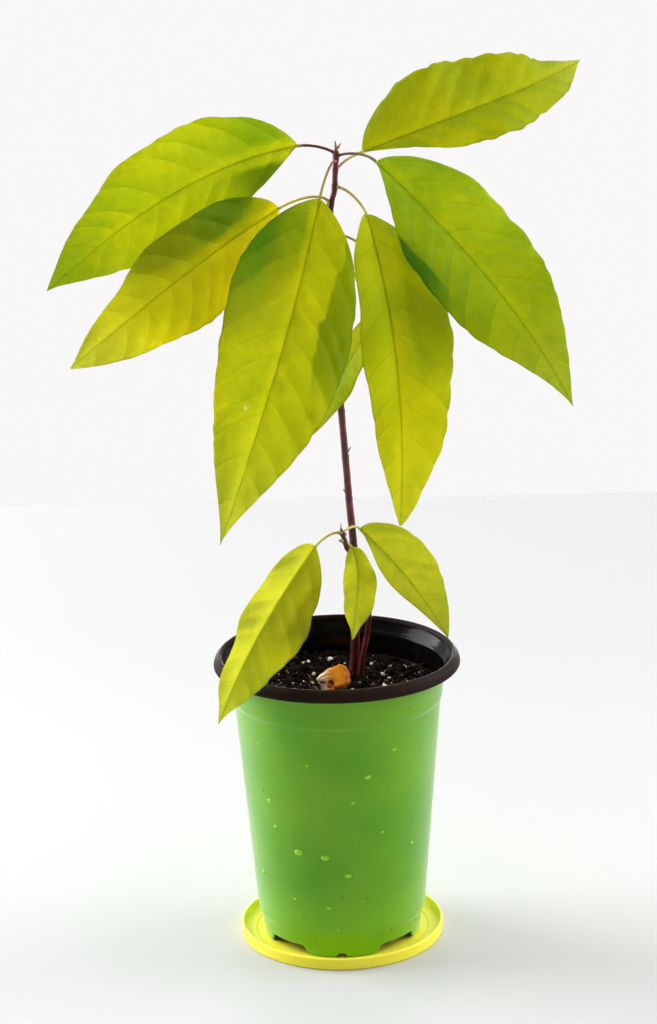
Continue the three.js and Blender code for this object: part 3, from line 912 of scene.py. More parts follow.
class Finish(Enum):
    """Every finish of the object and the floor. Its name in small letters is its material's."""

    LEAF_LIME = LeafFinish()
    # Painted shade for the front leaf: its bands darken one half where a fold shades it, and add greener
    # dark patches near the base of the other half where leaves behind shade it.
    LEAF_PAINTED_SHADING = LeafFinish(
        glow=(1.0, 0.88, 0.06), glow_deep=(0.8, 0.79, 0.04), painted_shading_bands=(
            PaintedShadingBand(1.0, 17.0, 0.5, strength=0.85, begin=0.01, glow=(0.54, 0.58, 0.02),
                   skin=(0.045, 0.155, 0.004)),
            PaintedShadingBand(-1.0, 17.0, 0.28, strength=0.45, wander=6.0, soft=7.0, begin=0.0,
                   glow=(0.54, 0.9, 0.04), skin=(0.035, 0.24, 0.006)),
            PaintedShadingBand(-1.0, 2.0, 0.15, strength=0.55, wander=5.0, soft=4.0, begin=0.0),
        ))
    LEAF_AMBER = LeafFinish(
        bright=(0.11, 0.27, 0.006), glow=(0.84, 0.76, 0.045), glow_deep=(0.69, 0.67, 0.036),
        tip=(0.92, 0.84, 0.26), shade=(0.56, 0.56, 0.03), panel_shade_strength=0.3)
    # Painted shadow: its band darkens one side near the petiole, where the leaf above shades it.
    LEAF_GOLD = LeafFinish(
        bright=(0.12, 0.28, 0.006), glow=(1.0, 0.86, 0.05), glow_deep=(0.86, 0.78, 0.04),
        tip=(0.88, 0.84, 0.28), shade=(0.6, 0.58, 0.03), pass_share=0.6, panel_shade_strength=0.3, painted_shading_bands=(
            PaintedShadingBand(-1.0, 3.0, 0.36, strength=0.5, wander=9.0, soft=4.0),
        ))
    # Painted light and shade for the front right leaf: a brighter glow and a bright band on one half
    # offset the shadow of the leaves behind, and a dark band paints shade on the other half.
    LEAF_BRIGHT = LeafFinish(
        glow=(0.95, 0.84, 0.045), glow_deep=(0.8, 0.77, 0.04), tip=(0.74, 0.7, 0.15), pass_share=0.62,
        painted_shading_bands=(
            PaintedShadingBand(1.0, 7.0, 0.55, strength=0.5, wander=8.0, soft=5.0, glow=(0.52, 0.56, 0.03)),
            PaintedShadingBand(-1.0, 0.0, 0.62, strength=0.9, wander=2.0, begin=0.0, glow=(1.0, 0.96, 0.06),
                   skin=(0.15, 0.31, 0.006)),
        ))
    # Painted shade: its band darkens the margin where the leaf behind overlaps it.
    LEAF_GREEN = LeafFinish(
        glow=(0.885, 0.855, 0.057), glow_deep=(0.69, 0.745, 0.047), painted_shading_bands=(
            PaintedShadingBand(-1.0, 22.0, 0.47, wander=3.0, begin=0.13),
        ))
    # Painted shade: a darker tip, bands that darken both halves near the petiole, and stronger shade in
    # the strips between side veins.
    LEAF_SHADE = LeafFinish(
        glow=(0.91, 0.84, 0.06), glow_deep=(0.68, 0.71, 0.05), tip=(0.48, 0.54, 0.08), panel_shade_strength=0.5,
        painted_shading_bands=(
            PaintedShadingBand(1.0, 3.0, 0.26, strength=0.95, wander=7.0, soft=4.0, begin=0.0,
                   glow=(0.38, 0.44, 0.02), skin=(0.035, 0.145, 0.005)),
            PaintedShadingBand(-1.0, 3.0, 0.24, strength=0.6, wander=6.0, soft=4.0, begin=0.0),
        ))
    LEAF_YOUNG = LeafFinish(
        bright=(0.22, 0.33, 0.02), deep=(0.13, 0.25, 0.015), glow=(0.8, 0.765, 0.135),
        glow_deep=(0.71, 0.7, 0.09), tip=(0.64, 0.635, 0.17), shade=(0.56, 0.58, 0.07), pass_share=0.72)
    # Painted light and shade for the low left leaf: one half brightened and the other darkened, as light
    # from one side would fall on it.
    LEAF_YOUNG_PAINTED_SHADING = replace(
        LEAF_YOUNG, painted_shading_bands=(
            PaintedShadingBand(-1.0, 0.0, 0.92, strength=0.8, wander=1.0, soft=1.2, begin=0.0,
                   glow=(0.82, 0.8, 0.18), skin=(0.24, 0.34, 0.03)),
            PaintedShadingBand(1.0, 0.0, 0.76, strength=0.5, wander=1.0, soft=1.2, begin=0.0,
                   glow=(0.55, 0.53, 0.05), skin=(0.1, 0.17, 0.01)),
            PaintedShadingBand(1.0, 8.0, 0.44, strength=0.7, wander=5.0, soft=6.0, begin=0.1,
                   glow=(0.44, 0.42, 0.04), skin=(0.07, 0.12, 0.01)),
        ))
    # A brighter copy of the young finish: painted light for the small leaf, which gets little light from
    # behind.
    LEAF_YOUNG_SMALL = replace(LEAF_YOUNG, glow=(0.9, 0.87, 0.15), glow_deep=(0.8, 0.79, 0.1))
    MIDRIB = RibFinish()
    STALK_RED = StalkFinish(near=(0.1, 0.01, 0.012), far=(0.34, 0.3, 0.08), turn=0.85, ease=0.15)
    STALK_RED_SHORT = StalkFinish(near=(0.09, 0.01, 0.012), far=(0.28, 0.22, 0.09), turn=0.55)
    STALK_BROWN = StalkFinish(near=(0.26, 0.08, 0.025), far=(0.46, 0.42, 0.08), turn=0.5)
    STALK_BEIGE = StalkFinish(near=(0.5, 0.34, 0.15), far=(0.6, 0.56, 0.16), turn=0.4)
    STALK_OCHRE = StalkFinish(near=(0.52, 0.34, 0.06), far=(0.72, 0.64, 0.08), turn=0.4)
    STALK_OLIVE = StalkFinish(near=(0.48, 0.32, 0.1), far=(0.64, 0.62, 0.13), turn=0.35)
    BARK = BarkFinish()
    BUD_SCALES = BudFinish(scale=(0.24, 0.07, 0.03), tip=(0.4, 0.2, 0.08))
    BUD_GREEN = BudFinish(scale=(0.34, 0.42, 0.08), tip=(0.4, 0.28, 0.08))
    POT_GREEN = PlasticFinish(
        body=(0.1, 0.345, 0.004), drift=(0.16, 0.4, 0.007), dust=(0.16, 0.19, 0.02), dusty=0.2,
        low=(0.18, 0.46, 0.005), low_top=0.016, gloss=0.3, mirror=0.26, film=0.55, spotted=0.7)
    POT_LIP = PlasticFinish(
        body=(0.01, 0.0055, 0.0032), drift=(0.02, 0.011, 0.007), dust=(0.08, 0.045, 0.025), dusty=0.2,
        gloss=0.4, mirror=0.04)
    # Near black, darker than the lip's own dark plastic: the lining's plastic with painted shade inside
    # the pot.
    POT_LINING = PlasticFinish(
        body=(0.0015, 0.0013, 0.0013), drift=(0.003, 0.0025, 0.0022), dust=(0.06, 0.04, 0.03),
        dusty=0.08, gloss=0.12, mirror=0.07)
    SAUCER_YELLOW = PlasticFinish(
        body=(0.96, 0.87, 0.055), drift=(0.97, 0.88, 0.075), dust=(0.4, 0.36, 0.05), dusty=0.05,
        gloss=0.3, mirror=0.18)
    SOIL = SoilFinish()
    CRUMB = GrainFinish(dark=(0.0008, 0.0006, 0.0005), pale=(0.01, 0.005, 0.003))
    GRAIN = GrainFinish(dark=(0.5, 0.34, 0.27), pale=(0.92, 0.84, 0.78))
    CHIP = GrainFinish(dark=(0.03, 0.014, 0.01), pale=(0.22, 0.1, 0.06))
    FIBRE = GrainFinish(dark=(0.06, 0.03, 0.015), pale=(0.26, 0.14, 0.07))
    SEED = SeedFinish()
    WATER = DropFinish()
    FLOOR = FloorFinish()


Materials = dict[Finish, Material]


# ---- stems


class StemName(Enum):
    """The two stems that leaves grow on."""

    MAIN = "main"
    SHOOT = "shoot"


class StemPart(IntEnum):
    """The finishes of a stem's piece, in order."""

    BARK = 0
    SCALES = 1
    GREEN = 2


@dataclass
class Bud:
    """A bud: its height on the stem, its swing and lift, and its length and thickness."""

    height: float
    swing: float
    lift: float
    reach: float
    thick: float
    finish: StemPart = StemPart.SCALES


@dataclass(frozen=True)
class StemRule:
    """How every stem's surface is drawn: its ridges, leaf joints, leaf scars, knobs and buds."""

    rows_per_mm: float = 1.6
    around: int = 28
    tip_ease: float = 1.6
    joint_swell: float = 0.26
    joint_lift: float = 0.4
    joint_reach: float = 1.5
    scar_ridge: float = 0.16
    scar_reach: float = 1.1
    groove: float = 0.08
    groove_lift: float = 1.7
    groove_reach: float = 0.8
    ridges: float = 0.11
    grain: float = 0.07
    grain_radius: float = 3.2
    grain_rise: float = 0.22
    full_grain_radius: float = 1.6
    knob_spread: float = 42.0
    knob_reach: float = 0.8
    wood_ease: float = 6.0
    bud_rows: int = 14
    bud_around: int = 10
    bud_hook: float = 0.16
    bud_scales: float = 16.0
    bud_relief: float = 0.07


@dataclass
class Stem:
    """A stem along the smooth line through its stations of height, east, north and thickness.

    It is woody below one height and green above another. A knob has a height, a swing and a size, and
    the trim thins the stem to a share of its thickness from height to height.
    """

    name: str
    node: str
    stations: list[tuple[float, float, float, float]]
    buds: list[Bud]
    scars: list[float]
    woody_from: float
    young_from: float
    seed: int
    knobs: list[Triple] = field(default_factory=list)
    trim: list[Pair] = field(default_factory=lambda: [(0, 1)])
    rule: StemRule = StemRule()

    def corner(self, number: int) -> Array:
        """Reads a station; numbers off the ends mirror the end spans.

        Args:
            number: The station's number.

        Returns:
            Its point.
        """
        spots = np.array([[east, north, level] for level, east, north, _ in self.stations], float)
        last = len(spots) - 1
        if number < 0:
            return 2 * spots[0] - spots[1]
        if number > last:
            return 2 * spots[last] - spots[last - 1]
        return spots[number]

    def at(self, share: float) -> Array:
        """The point of the centre line at a share of its spans.

        Args:
            share: From 0 at the foot to 1 at the tip, even in spans.

        Returns:
            The point.
        """
        spans = len(self.stations) - 1
        span = min(int(share * spans), spans - 1)
        part = share * spans - span
        before, start, end, after = (self.corner(span + i) for i in (-1, 0, 1, 2))
        first, middle, last = (
            max(math.sqrt(np.linalg.norm(b - a)), 1e-4)
            for a, b in ((before, start), (start, end), (end, after))
        )
        ahead = (end - start) / middle
        leave = (start - before) / first - (end - before) / (first + middle) + ahead
        arrive = ahead - (after - start) / (middle + last) + (after - end) / last
        leave, arrive = leave * middle, arrive * middle
        square = -3 * start + 3 * end - 2 * leave - arrive
        cube = 2 * start - 2 * end + leave + arrive
        return start + leave * part + square * part ** 2 + cube * part ** 3

    def share_at(self, height: float) -> tuple[int, float]:
        """Finds a height on the stem.

        Args:
            height: The height.

        Returns:
            The span that it lies in and how far up that span.
        """
        levels = [station[0] for station in self.stations]
        span = next((i for i, level in enumerate(levels) if level >= height), len(levels) - 1)
        span = max(span, 1) - 1
        return span, (height - levels[span]) / (levels[span + 1] - levels[span])

    def at_height(self, height: float) -> Array:
        """The point of the centre line at a height."""
        span, part = self.share_at(height)
        return self.at((span + part) / (len(self.stations) - 1))

    def radius(self, height: float) -> float:
        """The stem's radius at a height."""
        span, part = self.share_at(height)
        return ((1 - part) * self.stations[span][3] + part * self.stations[span + 1][3]) / 2

    def swollen(self, heights: Array, joints: list[float]) -> Array:
        """Works out the stem's radius with its leaf joints and scars.

        Args:
            heights: Heights on the stem.
            joints: Heights at which petioles leave it.

        Returns:
            The radius at each height.
        """
        rule = self.rule
        radii = np.array([self.radius(h) for h in heights])
        radii *= np.interp(heights, [level for level, _ in self.trim], [share for _, share in self.trim])
        fine = 1 - np.exp(-(self.stations[-1][0] - heights) / rule.tip_ease)
        for joint in joints:
            off = (heights - joint - rule.joint_lift) / rule.joint_reach
            radii += rule.joint_swell * fine * np.exp(-off ** 2)
        for scar in self.scars:
            radii += rule.scar_ridge * np.exp(-((heights - scar) / rule.scar_reach) ** 2)
            off = (heights - scar - rule.groove_lift) / rule.groove_reach
            radii -= rule.groove * np.exp(-off ** 2)
        return radii

    def relief(self, heights: Array, radii: Array) -> Array:
        """Works out the bark's ridges, grain and knobs.

        Args:
            heights: Heights on the stem.
            radii: The stem's radius at each.

        Returns:
            Extra radius: a row for each height, with a value for each side.
        """
        rule = self.rule
        turn = np.arange(rule.around) * FULL_TURN / rule.around
        level, angle = np.meshgrid(heights, turn, indexing="ij")
        out = rule.grain_radius
        spots = np.stack([out * np.cos(angle), out * np.sin(angle), level * rule.grain_rise], axis=-1)
        relief = (rule.ridges * ripple(spots, 1.1, self.seed)
                  + rule.grain * ripple(spots * [1, 1, 4], 0.9, self.seed + 1))
        relief *= np.clip(radii, 0.3, rule.full_grain_radius)[:, None] / rule.full_grain_radius
        for height, swing, size in self.knobs:
            aside = np.abs((np.degrees(turn) - swing + 180) % 360 - 180) / rule.knob_spread
            relief += size * np.exp(-((level - height) / rule.knob_reach) ** 2 - aside[None, :] ** 2)
        return relief

    def make(self, joints: list[float], materials: Materials) -> None:
        """Makes the stem with its bark, leaf joints, scars and buds.

        Args:
            joints: Heights at which petioles leave it.
            materials: The materials.
        """
        low, high = self.stations[0][0], self.stations[-1][0]
        heights = np.linspace(low, high, int((high - low) * self.rule.rows_per_mm) + 1)
        centres = np.array([self.at_height(h) for h in heights])
        radii = self.swollen(heights, joints)
        ease = self.rule.wood_ease
        woody = smooth(self.woody_from + ease, self.woody_from - ease, heights)
        young = smooth(self.young_from - 1, self.young_from + 2, heights)
        draft = Draft()
        draft.add_tube(centres, radii, self.rule.around, StemPart.BARK, self.relief(heights, radii),
                       {"woody": woody, "stalk_run": young})
        for bud in self.buds:
            self.add_bud(draft, bud)
        kinds = (Finish.BARK, Finish.BUD_SCALES, Finish.BUD_GREEN)
        piece = draft.make(self.name, [materials[kind] for kind in kinds], PLANT_LEVEL)
        place(piece, "stem", self.node)

    def add_bud(self, draft: Draft, bud: Bud) -> None:
        """Adds a slightly hooked bud with overlapping scales.

        Args:
            draft: The stem's mesh.
            bud: The bud.
        """
        rule = self.rule
        share = np.linspace(0, 1, rule.bud_rows)
        hook = np.array([0, 0, 1.0]) * (share ** 2)[:, None] * rule.bud_hook * bud.reach
        course = direction(bud.swing, bud.lift) * (share * bud.reach)[:, None] * 0.97
        centres = self.at_height(bud.height) + course + hook
        belly = 0.8 + 0.4 * np.sin(math.pi * share)
        radii = bud.thick / 2 * np.sqrt(np.clip(1 - share ** 2, 0, 1)) * belly
        radii = np.maximum(radii, 0.04)
        turn = np.arange(rule.bud_around) * FULL_TURN / rule.bud_around
        scales = np.sin(share[:, None] * rule.bud_scales + np.sin(turn * 2) * 1.5)
        relief = rule.bud_relief * bud.thick * scales * np.minimum(1, 4 * (1 - share))[:, None]
        draft.add_tube(centres, radii, rule.bud_around, bud.finish, relief * (radii > 0.1)[:, None],
                       {"woody": np.zeros(rule.bud_rows), "stalk_run": share})


# ---- leaves


def vein_nearness(count: Array, side: Array) -> Array:
    """How near points are to a side vein, from 0 on it to 0.5; the two halves' veins alternate."""
    return np.abs((count + 0.5 * (side > 0)) % 1 - 0.5)


class LeafPart(IntEnum):
    """The finishes of a leaf's piece, in order."""

    BLADE = 0
    STALK = 1
    RIB = 2


@dataclass(frozen=True)
class BladeRule:
    """How every leaf is drawn: its petiole's curve, its fold and edge, and its fine relief."""

    start_pull: float = 0.36
    end_pull: float = 0.28
    fold: float = 10.0
    curl: float = -14.0
    droop_ease: float = 1.5
    wave_ends: float = 0.6
    edge_lag: float = 140.0
    tip_share: float = 0.996
    base_share: float = 0.002
    tip_half_width: float = 0.22
    lamina: float = 0.40
    margin: float = 0.22
    stalk: float = 0.86
    small_stalk: float = 0.35
    stalk_per_length: float = 0.006
    vein_lean: float = 0.72
    vein_bow: float = 0.3
    vein_spacing: float = 16.0
    full_length: float = 150.0
    vein_stray: float = 0.34
    quilting: float = 1.25
    puckers: float = 0.42
    rolling: float = 0.9
    crinkle: float = 0.4
    scallop: float = 0.018
    nibble: float = 0.024
    midrib_groove: float = 0.35
    row_gap: float = 1.15
    column_gap: float = 1.35
    even_rows: float = 0.65
    crowding: float = 1.12


@dataclass
class Leaf:
    """A leaf: where its petiole starts, its blade's course, its two halves and its edge's waves.

    The petiole leaves the stem at a height, by its swing and lift. The blade starts at its base,
    heads round from east by north and turns, rises and droops, rolls about its midrib and twists,
    in degrees. Each half has its width, the share of the length where it is widest, and its fullness.
    The edge's wave has a height, a number of waves and a phase.
    """

    name: str
    height: float
    swing: float
    lift: float
    base: Point
    heading: float
    turn: float
    rise: float
    droop: float
    roll: float
    twist: float
    length: float
    left: Triple
    right: Triple
    wave: float
    waves: float
    phase: float
    skin: Finish = Finish.LEAF_LIME
    stalk: Finish = Finish.STALK_OLIVE
    stem: StemName = StemName.MAIN
    ragged: float = 1.0
    rule: BladeRule = BladeRule()

    def frames(self, t: Array) -> tuple[Array, Array, Array]:
        """The blade's directions at shares of its length.

        Args:
            t: The shares.

        Returns:
            The way along it, its left-hand side and its upper face.
        """
        heading = np.radians(self.heading + self.turn * t)
        pitch = np.radians(self.rise + self.droop * (1 - (1 - t) ** self.rule.droop_ease))
        roll = np.radians(self.roll + self.twist * t)[..., None]
        level = np.cos(pitch)
        along = np.stack([level * np.cos(heading), level * np.sin(heading), np.sin(pitch)], -1)
        side = np.stack([-np.sin(heading), np.cos(heading), np.zeros_like(heading)], -1)
        up = np.cross(along, side)
        return along, side * np.cos(roll) + up * np.sin(roll), up * np.cos(roll) - side * np.sin(roll)

    def midrib(self, t: Array) -> Array:
        """Draws the midrib.

        Args:
            t: Shares of its length.

        Returns:
            A point for each.
        """
        steps = 240
        fine = np.linspace(0, 1, steps + 1)
        along = self.frames(fine)[0]
        spans = (along[1:] + along[:-1]) / 2 * self.length / steps
        line = np.vstack([[self.base], np.array(self.base) + np.cumsum(spans, axis=0)])
        return np.stack([np.interp(t, fine, line[:, i]) for i in range(3)], -1)

    def half_width(self, t: Array, half: Triple) -> Array:
        """Works out how far one half reaches before its edge is worn.

        Args:
            t: Shares of the length.
            half: The half's width, widest place and fullness.

        Returns:
            The reach at each share.
        """
        width, at, full = half
        t = np.clip(t, 1e-6, 1 - 1e-6)
        return width * (t / at) ** (full * at) * ((1 - t) / (1 - at)) ** (full * (1 - at))

    def seed(self) -> int:
        """A number of the leaf's own for its noise."""
        return sum(ord(letter) * (i + 3) for i, letter in enumerate(self.name))

    def vein_count(self, run: Array, wide: Array, width: Array,
                   side: Array) -> Array:
        """The number of side veins passed, which grows by one from vein to vein.

        Args:
            run: The distance along the midrib.
            wide: The distance out from the midrib.
            width: How far the blade reaches there.
            side: 1 on the left half and -1 on the right.

        Returns:
            The count at each point.
        """
        rule = self.rule
        spacing = rule.vein_spacing * (self.length / rule.full_length) ** 0.55
        share = wide / np.maximum(width, 0.1)
        count = (run - wide * rule.vein_lean - rule.vein_bow * width * share ** 3) / spacing
        count = count + 0 * side
        where = np.stack([count, 9.0 * side + 0 * count, 0 * count], -1)
        drift = np.stack([run + 0 * count, 50 * side + wide + 0 * count, 0 * count], -1)
        return (count + rule.vein_stray * ripple(where, 1.1, self.seed() + 21)
                + 0.05 * ripple(drift, 8.0, self.seed() + 23))

    def worn_width(self, t: Array, side: Array) -> Array:
        """Works out how far the blade reaches, with an edge that is scalloped and nibbled.

        Args:
            t: Shares of the length, one for each row.
            side: 1 for each column of the left half and -1 for the right.

        Returns:
            The reach at each point.
        """
        rule = self.rule
        run = t[:, None] * self.length
        width = np.where(side >= 0, self.half_width(t, self.left)[:, None],
                         self.half_width(t, self.right)[:, None])
        width = np.maximum(width, rule.tip_half_width)
        near = vein_nearness(self.vein_count(run, width, width, side), side)
        spots = np.stack([run + 0 * side, 40 * side + 0 * run, 0 * side + 0 * run], -1)
        bites = 0.6 * ripple(spots, 7.5, self.seed()) + 0.4 * ripple(spots, 3.6, self.seed() + 1)
        worn = rule.scallop * (1 - np.sin(math.pi * near)) + rule.nibble * (1 + bites)
        return width * (1 - self.ragged * worn)

    def blade(self, t: Array, across: Array) -> tuple[Array, Array, Array]:
        """The blade's middle surface with its veins and quilting.

        Args:
            t: Shares of the length, one for each row.
            across: Signed shares of the half width, one for each column; positive is left.

        Returns:
            The points, the upper face's direction at each row, and the vein map at each point.
        """
        rule = self.rule
        _, left, face = self.frames(t)
        reach, side = np.abs(across)[None, :], np.sign(across)[None, :]
        width = self.worn_width(t, side)
        wide = width * reach
        bend = np.radians(rule.fold + rule.curl * reach / 2)
        count = self.vein_count(t[:, None] * self.length, wide, width, side)
        envelope = np.sin(math.pi * t)[:, None] ** rule.wave_ends
        phase = np.radians(self.phase + np.where(side >= 0, 0, rule.edge_lag))
        course = np.sin(2 * math.pi * self.waves * t[:, None] + phase)
        lift = wide * np.sin(bend) + self.wave * reach ** 2 * envelope * course
        flat = (np.clip(wide / 5, 0, 1) * np.clip((width - wide) / 6 + 0.25, 0, 1)
                * np.clip(width / 14, 0, 1))
        swell = np.sin(math.pi * vein_nearness(count, side))
        lift += rule.quilting * flat * swell * min(1.0, self.length / 120)
        lift -= rule.midrib_groove * np.exp(-(wide / 1.9) ** 2) * np.clip(1.15 - t, 0, 1)[:, None]
        spots = np.stack([t[:, None] * self.length + 0 * wide, wide * side, np.full(wide.shape, 7.0)], -1)
        lift += rule.rolling * ripple(spots, 15.0, self.seed() + 5) * np.clip(wide / 8, 0, 1)
        lift += rule.puckers * ripple(spots, 4.6, self.seed() + 7) * flat
        edge = ripple(spots, 6.5, self.seed() + 9)
        lift += rule.crinkle * edge * reach ** 2 * np.clip(width / 10, 0, 1)
        points = (self.midrib(t)[:, None, :]
                  + left[:, None, :] * (side * wide * np.cos(bend))[..., None]
                  + face[:, None, :] * lift[..., None])
        return points, face, np.stack([count, wide * side, t[:, None] + 0 * wide], -1)

    def add_blade(self, draft: Draft) -> None:
        """Adds the blade as a thin closed skin.

        Args:
            draft: The leaf's mesh.
        """
        rule = self.rule
        rows = max(36, int(self.length / rule.row_gap))
        even = np.linspace(0, 1, rows + 1)
        eased = (1 - rule.even_rows) * (1 - np.cos(math.pi * even)) / 2 + rule.even_rows * even
        t = rule.base_share + (rule.tip_share - rule.base_share) * eased
        half = max(9, int(max(self.left[0], self.right[0]) / rule.column_gap))
        out = np.linspace(0, 1, half + 1) ** rule.crowding
        across = np.concatenate([-out[::-1], out[1:]])
        points, face, vein_map = self.blade(t, across)
        thick = rule.margin + (rule.lamina - rule.margin) * (1 - np.abs(across) ** 4)
        lift = face[:, None, :] * thick[None, :, None] / 2
        columns = len(across)
        faces = strip_faces(rows + 1, columns, False)
        upper = len(t) * columns
        rim = (list(range(columns))
               + [(r + 1) * columns - 1 for r in range(1, rows + 1)]
               + [rows * columns + i for i in range(columns - 2, -1, -1)]
               + [r * columns for r in range(rows - 1, 0, -1)])
        edge = [[a, b, b + upper, a + upper] for a, b in zip(rim, rim[1:] + rim[:1])]
        every = np.vstack([(points + lift).reshape(-1, 3), (points - lift).reshape(-1, 3)])
        maps = np.vstack([vein_map.reshape(-1, 3)] * 2)
        both = [list(f) for f in faces] + [list(f[::-1] + upper) for f in faces] + edge
        values = {"vein_map": maps, "stalk_run": np.full(len(every), 1.2)}
        draft.add(every, both, LeafPart.BLADE, values)

    def add_stalk(self, draft: Draft, stem: Stem) -> None:
        """Adds the petiole, which runs on under the blade as its midrib.

        Args:
            draft: The leaf's mesh.
            stem: The stem that it grows on.
        """
        rule = self.rule
        start, base = stem.at_height(self.height), np.array(self.base)
        span = np.linalg.norm(start - base)
        along = self.frames(np.array([0.0]))[0]
        pull = start + direction(self.swing, self.lift) * rule.start_pull * span
        push = base - along[0] * rule.end_pull * span
        u = np.linspace(0, 1, 30)[:, None]
        curve = ((1 - u) ** 3 * start + 3 * u * (1 - u) ** 2 * pull + 3 * u ** 2 * (1 - u) * push
                 + u ** 3 * base)
        u = u[:, 0]
        slim = min(rule.stalk, rule.small_stalk + rule.stalk_per_length * self.length)
        petiole = slim * (0.84 + 0.7 * np.exp(-(u / 0.08) ** 2) + 0.08 * smooth(0.75, 1.0, u))
        draft.add_tube(curve, petiole, 14, LeafPart.STALK, None, self.stalk_values(u))
        t = np.linspace(0, 0.97, max(30, int(self.length / 2.2)))
        rib = slim * (0.42 * np.exp(-t / 0.05) + 0.46 * (1 - t) + 0.1)
        faces_up = self.frames(t)[2]
        sink = rib * 0.7 + rule.lamina / 2 + rule.midrib_groove * np.clip(1.15 - t, 0, 1)
        centres = self.midrib(t) - faces_up * (smooth(-0.01, 0.03, t) * sink)[:, None]
        draft.add_tube(centres, rib, 12, LeafPart.RIB, None, self.stalk_values(t), faces_up)

    def stalk_values(self, run: Array) -> dict[str, Array]:
        """The values that the finishes read along a petiole or rib."""
        zero = np.zeros(len(run))
        return {"vein_map": np.stack([zero, zero + 9.0, zero], -1), "stalk_run": run}

    def make(self, stem: Stem, materials: Materials) -> None:
        """Makes the leaf in place of its node.

        Args:
            stem: The stem that it grows on.
            materials: The materials.
        """
        draft = Draft()
        self.add_blade(draft)
        self.add_stalk(draft, stem)
        kinds = [materials[kind] for kind in (self.skin, self.stalk, Finish.MIDRIB)]
        piece = draft.make(f"{self.name}_fine", kinds, PLANT_LEVEL)
        place(piece, "leaf", self.name)


# ---- pot and saucer


class PotPart(IntEnum):
    """The finishes of the pot's piece, in order."""

    GREEN = 0
    LIP = 1
    LINING = 2


